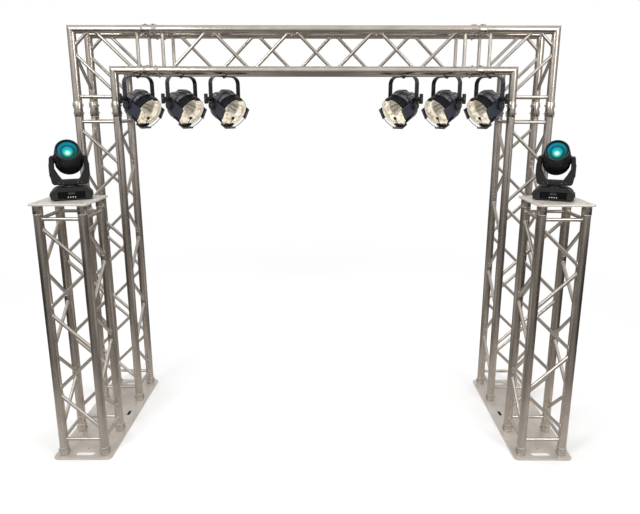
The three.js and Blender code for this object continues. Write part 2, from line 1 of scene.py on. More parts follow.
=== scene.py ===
"""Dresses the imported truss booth: box trusses, plates, can lamps and moving head lights."""

import logging
import math
from dataclasses import dataclass, field
from enum import Enum
from typing import Iterable, Sequence

import bpy
from mathutils import Matrix, Vector


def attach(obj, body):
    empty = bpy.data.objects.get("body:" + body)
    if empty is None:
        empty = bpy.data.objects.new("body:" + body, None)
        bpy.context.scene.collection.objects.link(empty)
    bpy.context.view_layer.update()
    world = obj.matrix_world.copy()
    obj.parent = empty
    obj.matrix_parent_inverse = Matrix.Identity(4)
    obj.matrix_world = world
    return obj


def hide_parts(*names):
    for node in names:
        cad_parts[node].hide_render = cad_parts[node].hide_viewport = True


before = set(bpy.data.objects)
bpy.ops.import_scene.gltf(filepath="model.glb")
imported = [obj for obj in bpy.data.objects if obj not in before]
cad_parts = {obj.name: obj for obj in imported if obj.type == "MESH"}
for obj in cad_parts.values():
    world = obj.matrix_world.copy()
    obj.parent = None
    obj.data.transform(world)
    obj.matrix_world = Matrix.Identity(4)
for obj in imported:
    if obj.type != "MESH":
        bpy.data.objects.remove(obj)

Piece = bpy.types.Object
Socket = bpy.types.NodeSocket
Pair = tuple[float, float]
Triple = tuple[float, float, float]
Profile = Sequence[Pair]

LOG = logging.getLogger("booth")
STRUCTURE = "structure"
UP = Vector((0, 0, 1))
SIDES = ((-1, "left"), (1, "right"))


def linear(red: int, green: int, blue: int) -> tuple[float, ...]:
    """Turns a colour as seen on a screen into the linear values of a shader.

    Args:
        red, green, blue: the colour from 0 to 255.

    Returns:
        The linear colour with an alpha of 1.
    """
    shares = (value / 255 for value in (red, green, blue))
    return (*(s / 12.92 if s <= 0.04045 else ((s + 0.055) / 1.055) ** 2.4 for s in shares), 1.0)


class Signal:
    """A socket that carries a number, with operators that add Math nodes."""

    def __init__(self, bench: "NodeBench", socket: Socket) -> None:
        """Wraps a socket of a tree."""
        self.bench, self.socket = bench, socket

    def _maths(self, operation: str, left: object, right: object) -> "Signal":
        """Adds one Math node and returns its result."""
        return self.bench.signal("ShaderNodeMath", {"operation": operation}, {0: left, 1: right})

    def __add__(self, other: object) -> "Signal":
        """Returns the sum."""
        return self._maths("ADD", self, other)

    def __sub__(self, other: object) -> "Signal":
        """Returns the difference."""
        return self._maths("SUBTRACT", self, other)

    def __rsub__(self, other: object) -> "Signal":
        """Returns the difference, taken the other way round."""
        return self._maths("SUBTRACT", other, self)

    def __mul__(self, other: object) -> "Signal":
        """Returns the product."""
        return self._maths("MULTIPLY", self, other)

    def __pow__(self, other: object) -> "Signal":
        """Returns the power."""
        return self._maths("POWER", self, other)

    __radd__, __rmul__ = __add__, __mul__

    def step(self, low: float, high: float) -> "Signal":
        """Returns a smooth 0 to 1 rise between two values."""
        return self.bench.signal("ShaderNodeMapRange", {"interpolation_type": "SMOOTHSTEP", "clamp": True},
                                 {"Value": self, "From Min": low, "From Max": high})

    def away(self, other: "Signal") -> "Signal":
        """Returns the distance from a point that this signal and another one give across and up."""
        return (self * self + other * other) ** 0.5


class NodeBench:
    """Adds nodes to one tree."""

    def __init__(self, tree: bpy.types.NodeTree) -> None:
        """Clears the tree that is worked on."""
        self.tree = tree
        tree.nodes.clear()

    def node(self, kind: str, settings: dict | None = None, values: dict | None = None) -> bpy.types.Node:
        """Adds a node.

        Args:
            kind: the node's type.
            settings: its properties, which are set first.
            values: numbers, colours, signals or sockets for its inputs, by name or place.

        Returns:
            The new node.
        """
        node = self.tree.nodes.new(kind)
        for name, value in (settings or {}).items():
            setattr(node, name, value)
        for name, value in (values or {}).items():
            self.feed(node.inputs[name], value)
        return node

    def feed(self, socket: Socket, value: object) -> None:
        """Gives an input a signal, another socket or a constant.

        Args:
            socket: the input.
            value: what it takes.
        """
        if isinstance(value, (Signal, Socket)):
            self.tree.links.new(value.socket if isinstance(value, Signal) else value, socket)
        else:
            socket.default_value = value

    def signal(self, kind: str, settings: dict | None, values: dict, output: int | str = 0) -> Signal:
        """Adds a node and returns one of its outputs as a signal."""
        return Signal(self, self.node(kind, settings, values).outputs[output])

    def parts(self, source: Socket) -> list[Signal]:
        """Returns the X, Y and Z of a place or direction."""
        return [Signal(self, one) for one in self.node("ShaderNodeSeparateXYZ", None, {0: source}).outputs]

    def rays(self, *kinds: str) -> list[Signal]:
        """Returns whether the light's path is of each kind."""
        path = self.node("ShaderNodeLightPath")
        return [Signal(self, path.outputs[f"Is {kind} Ray"]) for kind in kinds]

    def coordinates(self, kind: str = "Object") -> Socket:
        """Returns one kind of texture coordinates."""
        return self.node("ShaderNodeTexCoord").outputs[kind]

    def face_map(self) -> Socket:
        """Returns the piece's own map of its round face."""
        return self.node("ShaderNodeUVMap", {"uv_map": "face"}).outputs[0]

    def places(self, stretch: Triple = (1, 1, 1)) -> Socket:
        """Returns places on the object, in metres, stretched along the axes."""
        values = {"Vector": self.coordinates(), "Scale": stretch}
        return self.node("ShaderNodeMapping", None, values).outputs[0]

    def noise(self, scale: float, stretch: Triple = (1, 1, 1), detail: float = 3, rough: float = 0.55,
              source: Socket | None = None) -> Signal:
        """Returns soft noise from 0 to 1, over the object's places unless a source is given."""
        return self.signal("ShaderNodeTexNoise", None, {
            "Vector": source or self.places(stretch), "Scale": scale, "Detail": detail, "Roughness": rough})

    def blend(self, factor: object, first: object, second: object) -> Socket:
        """Mixes two colours.

        Args:
            factor: the share of the second one.
            first, second: the colours, or the sockets that give them.

        Returns:
            The socket of the mixed colour.
        """
        node = self.node("ShaderNodeMix", {"data_type": "RGBA"})
        inputs = {one.identifier: one for one in node.inputs}
        for name, value in (("Factor_Float", factor), ("A_Color", first), ("B_Color", second)):
            self.feed(inputs[name], value)
        return next(one for one in node.outputs if one.identifier == "Result_Color")

    def bump(self, height: Signal, distance: float, strength: float = 1.0) -> Socket:
        """Returns a normal that is raised by a height."""
        values = {"Height": height, "Distance": distance, "Strength": strength}
        return self.node("ShaderNodeBump", None, values).outputs[0]

    def close(self, kind: str, shader: bpy.types.Node) -> None:
        """Ends the tree with an output that shows a shader."""
        self.node(f"ShaderNodeOutput{kind}", None, {0: shader.outputs[0]})

    def surface(self, **values: object) -> None:
        """Ends the tree with a Principled shader whose sockets take the values, with _ for a space."""
        named = {name.replace("_", " "): value for name, value in values.items()}
        self.close("Material", self.node("ShaderNodeBsdfPrincipled", None, named))


class Grain(Enum):
    """Which way drawn or rolled metal is streaked, as the stretch of its noise."""

    UPRIGHT = (1.0, 1.0, 0.03)
    ALONG_BEAM = (0.03, 1.0, 1.0)
    DEEP = (1.0, 0.03, 1.0)
    NONE = (1.0, 1.0, 1.0)


@dataclass(frozen=True)
class Finish:
    """A finish, which makes its material the first time that it is asked for."""

    name: str

    def material(self) -> bpy.types.Material:
        """Gets the finish's material.

        Returns:
            The material, which every piece of this finish shares.
        """
        made = bpy.data.materials.get(self.name)
        if made is None:
            made = bpy.data.materials.new(self.name)
            made.use_nodes = True
            self.fill(NodeBench(made.node_tree))
        return made

    def fill(self, bench: NodeBench) -> None:
        """Adds the finish's nodes."""
        raise NotImplementedError


@dataclass(frozen=True)
class DrawnAluminium(Finish):
    """Mill aluminium with die lines, stains and handling marks."""

    grain: Grain = Grain.NONE
    light: tuple = linear(210, 201, 191)
    dark: tuple = linear(182, 172, 162)
    roughness: float = 0.19
    metal: float = 1.0

    def fill(self, bench: NodeBench) -> None:
        """Adds streaks along the grain and broad stains.

        Args:
            bench: the bench of the material's tree.
        """
        lines = bench.noise(420, self.grain.value, 4)
        stains = bench.noise(7, detail=5)
        spots = bench.noise(60, detail=4).step(0.62, 0.74)
        tone = lines * 0.5 + stains * 0.5
        bench.surface(
            Base_Color=bench.blend(tone.step(0.3, 0.66), self.dark, self.light),
            Metallic=self.metal,
            Roughness=self.roughness + lines * 0.08 + spots * 0.08,
            Normal=bench.bump(lines + spots * 0.3, 0.00005, 0.4),
        )


@dataclass(frozen=True)
class WeldMetal(Finish):
    """A bright, rippled weld bead."""

    def fill(self, bench: NodeBench) -> None:
        """Adds the ripples and the bright tone.

        Args:
            bench: the bench of the material's tree.
        """
        ripples = bench.noise(900, detail=2)
        bench.surface(
            Base_Color=bench.blend(ripples, linear(196, 190, 182), linear(232, 228, 222)),
            Metallic=1.0,
            Roughness=0.24 + ripples * 0.2,
            Normal=bench.bump(ripples, 0.0004, 0.8),
        )


@dataclass(frozen=True)
class Paint(Finish):
    """Powder coat or moulded plastic with a fine texture and worn spots."""

    colour: tuple
    worn: tuple
    roughness: float
    texture: float
    relief: float = 0.0001
    wear: float = 0.25
    gloss: float = 0.0
    sheen: tuple = (1.0, 1.0, 1.0, 1.0)
    shine: float = 0.5

    def fill(self, bench: NodeBench) -> None:
        """Adds the texture of the coat and a little wear.

        Args:
            bench: the bench of the material's tree.
        """
        pebble = bench.noise(self.texture, detail=3)
        dust = bench.noise(24, detail=6).step(0.5, 0.8)
        bench.surface(
            Base_Color=bench.blend(dust * self.wear, self.colour, self.worn),
            Metallic=0.0, Specular_Tint=self.sheen, Specular_IOR_Level=self.shine,
            Coat_Weight=self.gloss, Coat_Roughness=0.22, Coat_IOR=1.1 + 0.8 * self.shine,
            Roughness=self.roughness + dust * 0.14 + pebble * 0.06,
            Normal=bench.bump(pebble, self.relief, 0.8),
        )


@dataclass(frozen=True)
class PlatedSteel(Finish):
    """Zinc plated steel for pins, clips, screws and bolts."""

    colour: tuple = linear(176, 174, 170)
    roughness: float = 0.28

    def fill(self, bench: NodeBench) -> None:
        """Adds the cloudy plating.

        Args:
            bench: the bench of the material's tree.
        """
        cloud = bench.noise(180, detail=4)
        bench.surface(
            Base_Color=bench.blend(cloud, self.colour, linear(120, 116, 110)),
            Metallic=1.0,
            Roughness=self.roughness + cloud * 0.15,
            Normal=bench.bump(cloud, 0.00008, 0.6),
        )


@dataclass(frozen=True)
class Reflector(Finish):
    """The silvered bowl of a sealed lamp, cream, with a warm brown patch that is a painted reflection of the
    room, and a faint painted glow.
    """

    # Strength of the painted glow: the bowl gives off its own colours as light, which brightens it even in
    # shade.
    glow: float = 0.37

    def fill(self, bench: NodeBench) -> None:
        """Adds the dimples, the bright rim and the rayed brown patch of painted reflection, read from the
        bowl's own map, and a painted glow in the same colours.

        Args:
            bench: the bench of the material's tree.
        """
        dimples = bench.signal("ShaderNodeTexVoronoi", {"feature": "SMOOTH_F1"},
                               {"Vector": bench.places(), "Scale": 190.0, "Smoothness": 0.5})
        cloud = bench.noise(34, detail=6, rough=0.65)
        source = bench.face_map()
        across, upward = bench.parts(source)[:2]
        out = (across - 0.5).away(upward - 0.5)
        middle = bench.node("ShaderNodeVectorMath", {"operation": "SUBTRACT"}, {0: source, 1: (0.5, 0.5, 0)})
        ray = bench.node("ShaderNodeVectorMath", {"operation": "NORMALIZE"}, {0: middle.outputs[0]})
        rays = bench.noise(5.0, detail=2.0, rough=0.5, source=ray.outputs[0]).step(0.35, 0.65)
        # Painted reflection: a rayed brown patch right of the middle stands in for the room mirrored in the
        # bowl, and it stops short of the rim.
        near = ((across - 0.86) * 1.7).away(upward - 0.49) + (cloud - 0.5) * 0.22
        painted_reflection = (1 - near.step(0.16, 0.42)) * (1 - out.step(0.425, 0.46))
        silver = bench.blend(cloud.step(0.4, 0.56), linear(196, 180, 150), linear(255, 251, 240))
        tone = bench.blend(painted_reflection * (rays * 0.35 + 0.65), silver, linear(58, 40, 24))
        # Painted glow: the emission repeats the bowl's colours, painted reflection included.
        bench.surface(
            Base_Color=tone, Metallic=0.2, Roughness=0.3 + cloud * 0.12,
            Emission_Color=tone, Emission_Strength=self.glow,
            Normal=bench.bump(dimples, 0.0012, 0.7),
        )


@dataclass(frozen=True)
class ClearGlass(Finish):
    """Thin clear glass with faint ripples."""

    alpha: float = 0.05
    tint: tuple = linear(238, 236, 226)

    def fill(self, bench: NodeBench) -> None:
        """Adds faint ripples to a see-through, glossy surface.

        Args:
            bench: the bench of the material's tree.
        """
        ripple = bench.noise(160, detail=2)
        bench.surface(
            Base_Color=bench.blend(ripple, self.tint, linear(250, 250, 246)),
            Roughness=0.04 + ripple * 0.05,
            Alpha=self.alpha + ripple * 0.04,
            Normal=bench.bump(ripple, 0.0006, 0.5),
        )


@dataclass(frozen=True)
class TealLens(Finish):
    """The lit front lens of a moving head, bright in its middle."""

    def fill(self, bench: NodeBench) -> None:
        """Adds the glow, ring by ring from the rim to the core, read from the lens's own map.

        Args:
            bench: the bench of the material's tree.
        """
        across, upward = (one - 0.5 for one in bench.parts(bench.face_map())[:2])
        out, well, hot = (across.away(upward + drop) for drop in (0.0, 0.07, 0.17))
        edge = (upward - across * 0.5).step(-0.4, 0.25)
        glow = bench.blend(edge, linear(20, 104, 66), linear(8, 132, 150))
        glow = bench.blend(out.step(0.40, 0.49), glow, linear(6, 50, 68))
        for field_of, low, high, colour in (
            (well, 0.27, 0.40, linear(6, 66, 84)), (well, 0.20, 0.30, linear(14, 172, 194)),
            (hot, 0.12, 0.25, linear(60, 220, 184)), (hot, 0.06, 0.15, linear(232, 255, 248)),
        ):
            glow = bench.blend(field_of.step(low, high), colour, glow)
        bench.surface(
            Base_Color=linear(4, 10, 14), Roughness=0.2 + out * 0.04, Specular_IOR_Level=0.08,
            Emission_Color=glow, Emission_Strength=1.0,
        )


@dataclass(frozen=True)
class ScreenGlass(Finish):
    """The dim window of a display."""

    colour: tuple = linear(58, 54, 60)

    def fill(self, bench: NodeBench) -> None:
        """Adds a smooth, faintly smeared window.

        Args:
            bench: the bench of the material's tree.
        """
        smear = bench.noise(50, detail=3)
        bench.surface(
            Base_Color=bench.blend(smear, self.colour, linear(40, 38, 44)),
            Roughness=0.12 + smear * 0.1,
            Normal=bench.bump(smear, 0.00005, 0.5),
        )


@dataclass(frozen=True)
class StudioFloor(Finish):
    """A pale floor that fades to white where it is seen, and that the metal mirrors in bands."""

    def fill(self, bench: NodeBench) -> None:
        """Mixes the matt floor with the white beyond it, and with its bands for mirror rays.

        Args:
            bench: the bench of the material's tree.
        """
        camera, glossy = bench.rays("Camera", "Glossy")
        source = bench.coordinates()
        away = bench.signal("ShaderNodeVectorMath", {"operation": "LENGTH"}, {0: source}, "Value")
        x, y = bench.parts(source)[:2]
        across = bench.signal("ShaderNodeMath", {"operation": "ABSOLUTE"}, {0: x})
        near_plates = 1 - (across - 1.4).away(y * 0.8).step(0.5, 1.5)
        outside = across.step(1.9, 3.6)
        band = 0.16 + (1 - outside) * away.step(0.9, 1.8) * 0.08 - outside * 0.12 + near_plates * 0.4
        band = bench.blend(band + away.step(7.0, 12.0) * 0.4, (0, 0, 0, 1), (1, 0.97, 0.94, 1))
        matt = bench.node("ShaderNodeBsdfDiffuse", None, {"Color": (0.97, 0.97, 0.97, 1)})
        white = bench.node("ShaderNodeEmission", None, {"Strength": camera})
        glint = bench.node("ShaderNodeEmission", None, {"Color": band})
        seen = bench.node("ShaderNodeMixShader", None,
                          {0: away.step(2.2, 5.0), 1: matt.outputs[0], 2: white.outputs[0]})
        bench.close("Material", bench.node(
            "ShaderNodeMixShader", None, {0: glossy, 1: seen.outputs[0], 2: glint.outputs[0]}))


@dataclass(frozen=True)
class Finishes:
    """All the finishes of the booth."""

    upright: Finish = DrawnAluminium("drawn aluminium upright", Grain.UPRIGHT)
    along: Finish = DrawnAluminium("drawn aluminium along the beam", Grain.ALONG_BEAM)
    brace: Finish = DrawnAluminium(
        "brace aluminium", light=linear(208, 200, 191), dark=linear(188, 179, 169), roughness=0.24)
    coupler: Finish = DrawnAluminium("turned chord ends", dark=linear(190, 181, 171))
    plate: Finish = DrawnAluminium(
        "rolled floor plate", Grain.DEEP, linear(220, 213, 205), linear(194, 186, 178),
        roughness=0.4, metal=0.5)
    shelf: Finish = DrawnAluminium(
        "rolled top plate", Grain.ALONG_BEAM, linear(238, 231, 222), linear(216, 209, 200),
        roughness=0.4, metal=0.5)
    weld: Finish = WeldMetal("weld bead")
    steel: Finish = PlatedSteel("plated steel")
    dark_steel: Finish = PlatedSteel("darkened screw steel", linear(92, 88, 84), roughness=0.42)
    coat: Finish = Paint(
        "black powder coat", linear(28, 27, 36), linear(70, 68, 84),
        roughness=0.26, texture=900, relief=0.00002, wear=0.05,
        gloss=1.0, sheen=(0.88, 0.84, 1.0, 1.0), shine=1.0)
    front: Finish = Paint(
        "black front ring", linear(6, 6, 9), linear(24, 24, 30),
        roughness=0.3, texture=900, relief=0.00005, wear=0.1, sheen=(0.5, 0.5, 0.56, 1.0), shine=0.3)
    # Painted highlight: cream for the inner wall of the lamps' front rings, as if lit.
    cream: Finish = Paint(
        "cream rim", linear(255, 250, 234), linear(226, 214, 190),
        roughness=0.3, texture=300)
    # Painted light: a lighter copy of the lamps' coat, for the flat cheeks as if lit.
    cheek: Finish = Paint(
        "cheek paint", linear(44, 46, 57), linear(70, 72, 86),
        roughness=0.4, texture=900, relief=0.00005, wear=0.1, gloss=0.2, sheen=(0.8, 0.85, 1.0, 1.0))
    yoke: Finish = Paint(
        "black yoke paint", linear(17, 18, 25), linear(70, 72, 84),
        roughness=0.24, texture=500, wear=0.2, gloss=0.5, sheen=(0.8, 0.86, 1.0, 1.0))
    knob: Finish = Paint(
        "knob plastic", linear(18, 18, 21), linear(52, 52, 56),
        roughness=0.5, texture=700)
    case: Finish = Paint(
        "moving head case", linear(19, 18, 21), linear(38, 37, 41),
        roughness=0.5, texture=1400, relief=0.00015, wear=0.2)
    trim: Finish = Paint(
        "moving head trim", linear(52, 52, 58), linear(70, 70, 76),
        roughness=0.35, texture=1400, wear=0.2)
    barrel: Finish = Paint(
        "moving head barrel", linear(15, 14, 16), linear(34, 33, 36),
        roughness=0.42, texture=1400, wear=0.2)
    rubber: Finish = Paint(
        "foot rubber", linear(16, 16, 17), linear(44, 43, 42),
        roughness=0.8, texture=400)
    badge: Finish = Paint(
        "blank black plate", linear(7, 7, 8), linear(20, 20, 20),
        roughness=0.4, texture=300, wear=0.2, sheen=(0.2, 0.2, 0.2, 1.0))
    button: Finish = Paint(
        "pale button", linear(206, 204, 200), linear(170, 168, 164),
        roughness=0.4, texture=300)
    reflector: Finish = Reflector("silvered bowl")
    lens: Finish = ClearGlass("lamp glass")
    teal: Finish = TealLens("lit lens")
    screen: Finish = ScreenGlass("display window")
    floor: Finish = StudioFloor("studio floor")


LOOK = Finishes()


def settle() -> None:
    """Leaves edit mode and deselects every object."""
    if bpy.context.object and bpy.context.object.mode != "OBJECT":
        bpy.ops.object.mode_set(mode="OBJECT")
    bpy.ops.object.select_all(action="DESELECT")


def pick(*objects: Piece) -> None:
    """Selects only these objects, with the first one active.

    Args:
        objects: what is selected.
    """
    settle()
    for one in objects:
        one.select_set(True)
    bpy.context.view_layer.objects.active = objects[0]


def begin(obj: Piece, mode: str = "VERT", chosen: Iterable[int] | None = None) -> None:
    """Goes into edit mode on an object.

    Args:
        obj: the object.
        mode: which elements are worked on.
        chosen: the numbers of the vertices or edges that are selected, or None for all.
    """
    pick(obj)
    bpy.ops.object.mode_set(mode="EDIT")
    bpy.ops.mesh.select_mode(type=mode)
    bpy.ops.mesh.select_all(action="SELECT" if chosen is None else "DESELECT")
    if chosen is not None:
        bpy.ops.object.mode_set(mode="OBJECT")
        elements = obj.data.vertices if mode == "VERT" else obj.data.edges
        for number in chosen:
            elements[number].select = True
        bpy.ops.object.mode_set(mode="EDIT")


def finish_shape(obj: Piece, smooth: float = 35.0) -> Piece:
    """Merges doubles, turns the faces outwards and shades the object by angle.

    Args:
        obj: the object.
        smooth: the largest angle, in degrees, that is shaded smooth.

    Returns:
        The same object.
    """
    begin(obj)
    bpy.ops.mesh.remove_doubles(threshold=0.000005)
    bpy.ops.mesh.normals_make_consistent(inside=False)
    bpy.ops.object.mode_set(mode="OBJECT")
    bpy.ops.object.shade_smooth_by_angle(angle=math.radians(smooth))
    return obj


def turned(profile: Profile, sides: int = 40, hollow: bool = False) -> Piece:
    """Turns a profile round the Z axis, from a circle that is extruded and resized.

    Args:
        profile: pairs of radius and height; no radius is zero.
        sides: how many facets go round.
        hollow: whether the profile closes on itself, instead of being capped at both ends.

    Returns:
        The turned object, standing on the Z axis.
    """
    settle()
    (radius, height), rest = profile[0], list(profile[1:])
    bpy.ops.mesh.primitive_circle_add(vertices=sides, radius=radius, fill_type="NOTHING")
    obj = bpy.context.object
    bpy.ops.object.mode_set(mode="EDIT")
    bpy.ops.mesh.select_all(action="SELECT")
    bpy.ops.transform.translate(value=(0, 0, height))
    if not hollow:
        bpy.ops.mesh.edge_face_add()
        bpy.ops.mesh.select_mode(type="EDGE")
        bpy.ops.mesh.select_all(action="SELECT")
    for next_radius, next_height in rest + (list(profile[:1]) if hollow else []):
        bpy.ops.mesh.extrude_edges_move(TRANSFORM_OT_translate={"value": (0, 0, next_height - height)})
        share = next_radius / radius
        bpy.ops.transform.resize(value=(share, share, 1), center_override=(0, 0, next_height))
        radius, height = next_radius, next_height
    if not hollow:
        bpy.ops.mesh.edge_face_add()
    return finish_shape(obj)


def face_map(obj: Piece, radius: float) -> Piece:
    """Gives a piece that was turned round Z a map called face, from 0 to 1 across a radius.

    Args:
        obj: the turned piece.
        radius: the radius at which the map ends.

    Returns:
        The same piece.
    """
    layer = obj.data.uv_layers.new(name="face")
    for loop in obj.data.loops:
        place = obj.data.vertices[loop.vertex_index].co / (2 * radius)
        layer.data[loop.index].uv = (place.x + 0.5, place.y + 0.5)
    return obj


def modified(obj: Piece, kind: str, **settings: object) -> Piece:
    """Applies one modifier with its settings.

    Args:
        obj: the object.
        kind: the modifier's type.
        settings: the modifier's settings, by name.

    Returns:
        The same object.
    """
    pick(obj)
    modifier = obj.modifiers.new(kind.lower(), kind)
    for name, value in settings.items():
        setattr(modifier, name, value)
    bpy.ops.object.modifier_apply(modifier=modifier.name)
    return obj


def bevelled(obj: Piece, width: float, segments: int = 2) -> Piece:
    """Rounds the sharp edges of an object with a bevel that is applied.

    Args:
        obj: the object.
        width: the width of the bevel.
        segments: how many facets the bevel has.

    Returns:
        The same object.
    """
    modified(obj, "BEVEL", width=width, segments=segments, limit_method="ANGLE",
             angle_limit=math.radians(40), use_clamp_overlap=True)
    bpy.ops.object.shade_smooth_by_angle(angle=math.radians(35))
    return obj


def cube(size: Triple, place: Triple = (0, 0, 0)) -> Piece:
    """Makes a plain block, centred on a place.

    Args:
        size: its width, depth and height.
        place: its middle.

    Returns:
        The block.
    """
    settle()
    bpy.ops.mesh.primitive_cube_add(size=1, location=place, scale=size)
    bpy.ops.object.transform_apply(location=True, rotation=True, scale=True)
    return bpy.context.object


def block(size: Triple, place: Triple = (0, 0, 0), bevel: float = 0.001, segments: int = 2) -> Piece:
    """Makes a block with rounded edges, centred on a place."""
    return bevelled(cube(size, place), bevel, segments)


def prism(outline: Profile, depth: float, bevel: float = 0.0, segments: int = 2) -> Piece:
    """Pushes an outline in X and Z out along Y, with its middle on Y = 0.

    Args:
        outline: the corners in order.
        depth: how far it is pushed.
        bevel: the radius of the rounded edges.
        segments: how many facets the rounding has.

    Returns:
        The solid.
    """
    settle()
    bpy.ops.mesh.primitive_circle_add(vertices=len(outline), radius=1, fill_type="NOTHING")
    obj = bpy.context.object
    for vertex, (x, z) in zip(obj.data.vertices, outline):
        vertex.co = (x, -depth / 2, z)
    begin(obj)
    bpy.ops.mesh.edge_face_add()
    bpy.ops.mesh.extrude_region_move(TRANSFORM_OT_translate={"value": (0, depth, 0)})
    finish_shape(obj)
    return bevelled(obj, bevel, segments) if bevel else obj


def ring(radius: float, thickness: float, steps: int = 40, sides: int = 8, ripple: float = 0.0) -> Piece:
    """Makes a ring round the Z axis, which can have the ripples of a weld.

    Args:
        radius: from the axis to the middle of its section.
        thickness: the radius of its section.
        steps: how many sections go round.
        sides: how many facets a section has.
        ripple: how far every second section is drawn in.

    Returns:
        The ring.
    """
    settle()
    bpy.ops.mesh.primitive_torus_add(
        major_segments=steps, minor_segments=sides, major_radius=radius, minor_radius=thickness)
    obj = bpy.context.object
    if ripple:
        begin(obj, "VERT", [n for n in range(steps * sides) if (n // sides) % 2 == 0])
        bpy.ops.transform.shrink_fatten(value=-ripple)
    return finish_shape(obj, 60)


def swept(section: float | Pair, start: Vector, way: Vector, runs: Iterable[tuple], sides: int = 8) -> Piece:
    """Draws a bar or wire by extruding its end face straight on and spinning it round bends.

    Args:
        section: the radius of a wire, or the width and thickness of a flat bar.
        start: where the bar begins.
        way: the direction in which it begins, along Z.
        runs: a vector for a straight run, or (centre, axis, degrees, steps) for a bend, in order.
        sides: how many facets a wire has.

    Returns:
        The bar.
    """
    settle()
    if isinstance(section, tuple):
        bpy.ops.mesh.primitive_plane_add(size=1, location=start)
        obj = bpy.context.object
        obj.scale = (*section, 1)
    else:
        bpy.ops.mesh.primitive_circle_add(vertices=sides, radius=section, fill_type="NGON", location=start)
        obj = bpy.context.object
    obj.rotation_euler = UP.rotation_difference(way).to_euler()
    bpy.ops.object.transform_apply(location=True, rotation=True, scale=True)
    begin(obj, "FACE")
    for run in runs:
        if len(run) == 3:
            bpy.ops.mesh.extrude_region_move(TRANSFORM_OT_translate={"value": run})
        else:
            centre, axis, degrees, steps = run
            bpy.ops.mesh.spin(steps=steps, angle=-math.radians(degrees), center=centre, axis=axis)
    return finish_shape(obj)


def at(x: float = 0.0, y: float = 0.0, z: float = 0.0) -> Matrix:
    """Returns a move to a place."""
    return Matrix.Translation((x, y, z))


def turn(degrees: float, axis: str) -> Matrix:
    """Returns a turn about the axis called X, Y or Z."""
    return Matrix.Rotation(math.radians(degrees), 4, axis)


FORWARD = turn(90, "X")
QUARTER = turn(90, "Z")


def sideways(side: int, x: float, z: float = 0.0) -> Matrix:
    """Returns the matrix that turns Z to the side given as -1 or 1, at a place on that side."""
    return at(side * x, 0, z) @ turn(side * 90, "Y")


def frame_of(place: Vector, along: Vector, side: Vector | None = None) -> Matrix:
    """Returns the matrix that puts Z along a direction and X near another one, at a place.

    Args:
        place: where the piece's origin goes.
        along: where its Z axis points.
        side: the direction near its X axis, or None for any.

    Returns:
        The matrix.
    """
    z = along.normalized()
    near = side if side is not None else Vector((1, 0, 0) if abs(z.x) < 0.9 else (0, 1, 0))
    x = (near - z * near.dot(z)).normalized()
    return Matrix.Translation(place) @ Matrix((x, z.cross(x), z)).transposed().to_4x4()


def moved(obj: Piece, matrix: Matrix) -> Piece:
    """Puts a place in an object's mesh.

    Args:
        obj: the object.
        matrix: the place.

    Returns:
        The same object.
    """
    obj.data.transform(matrix)
    if matrix.determinant() < 0:
        obj.data.flip_normals()
    return obj


def copy_of(template: Piece, matrix: Matrix) -> Piece:
    """Copies an object with its own mesh and puts the place in that mesh.

    Args:
        template: the piece that is copied.
        matrix: the copy's place.

    Returns:
        The copy.
    """
    obj = bpy.data.objects.new(template.name, template.data.copy())
    bpy.context.scene.collection.objects.link(obj)
    return moved(obj, matrix)


def painted(obj: Piece, finish: Finish, place: Matrix | None = None) -> Piece:
    """Gives an object one finish all over, and puts it at a place.

    Args:
        obj: the object.
        finish: its finish.
        place: its place, or None where it has one.

    Returns:
        The same object.
    """
    obj.data.materials.clear()
    obj.data.materials.append(finish.material())
    return moved(obj, place) if place else obj


def joined(objects: Sequence[Piece], name: str) -> Piece:
    """Joins objects into one and names it.

    Args:
        objects: the pieces, each with its finish.
        name: the name of the result.

    Returns:
        The joined object.
    """
    pick(*objects)
    if len(objects) > 1:
        bpy.ops.object.join()
    obj = bpy.context.object
    obj.name = obj.data.name = name
    return obj


def forget(*objects: Piece) -> None:
    """Removes templates that have been copied."""
    for one in objects:
        bpy.data.meshes.remove(one.data)


def cut_away(obj: Piece, tool: Piece) -> Piece:
    """Cuts a tool's shape out of an object, and removes the tool.

    Args:
        obj: the solid that is cut.
        tool: the solid that is taken out of it.

    Returns:
        The solid that is left.
    """
    modified(obj, "BOOLEAN", operation="DIFFERENCE", solver="EXACT", object=tool)
    forget(tool)
    return finish_shape(obj)


def seat(obj: Piece, body: str, nodes: Iterable[str] = ()) -> None:
    """Makes a finished piece ride on a body and stand for CAD nodes, whose parts it hides, and logs it.

    Args:
        obj: the piece.
        body: the body that carries it.
        nodes: the CAD nodes that it replaces.
    """
    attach(obj, body)
    nodes = list(nodes)
    if nodes:
        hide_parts(*nodes)
    LOG.info("%s: %d faces on %s", obj.name, len(obj.data.polygons), body)


def arc(centre: Pair, radius: float, start: float, end: float, steps: int = 5) -> list[Pair]:
    """Returns points on an arc, from one angle in degrees to another."""
    angles = [math.radians(start + (end - start) * n / steps) for n in range(steps + 1)]
    return [(centre[0] + radius * math.cos(a), centre[1] + radius * math.sin(a)) for a in angles]


def mirrored(outline: Profile) -> list[Pair]:
    """Returns an outline's points on the other side of Z, in the order that goes on round."""
    return [(-x, z) for x, z in reversed(outline)]


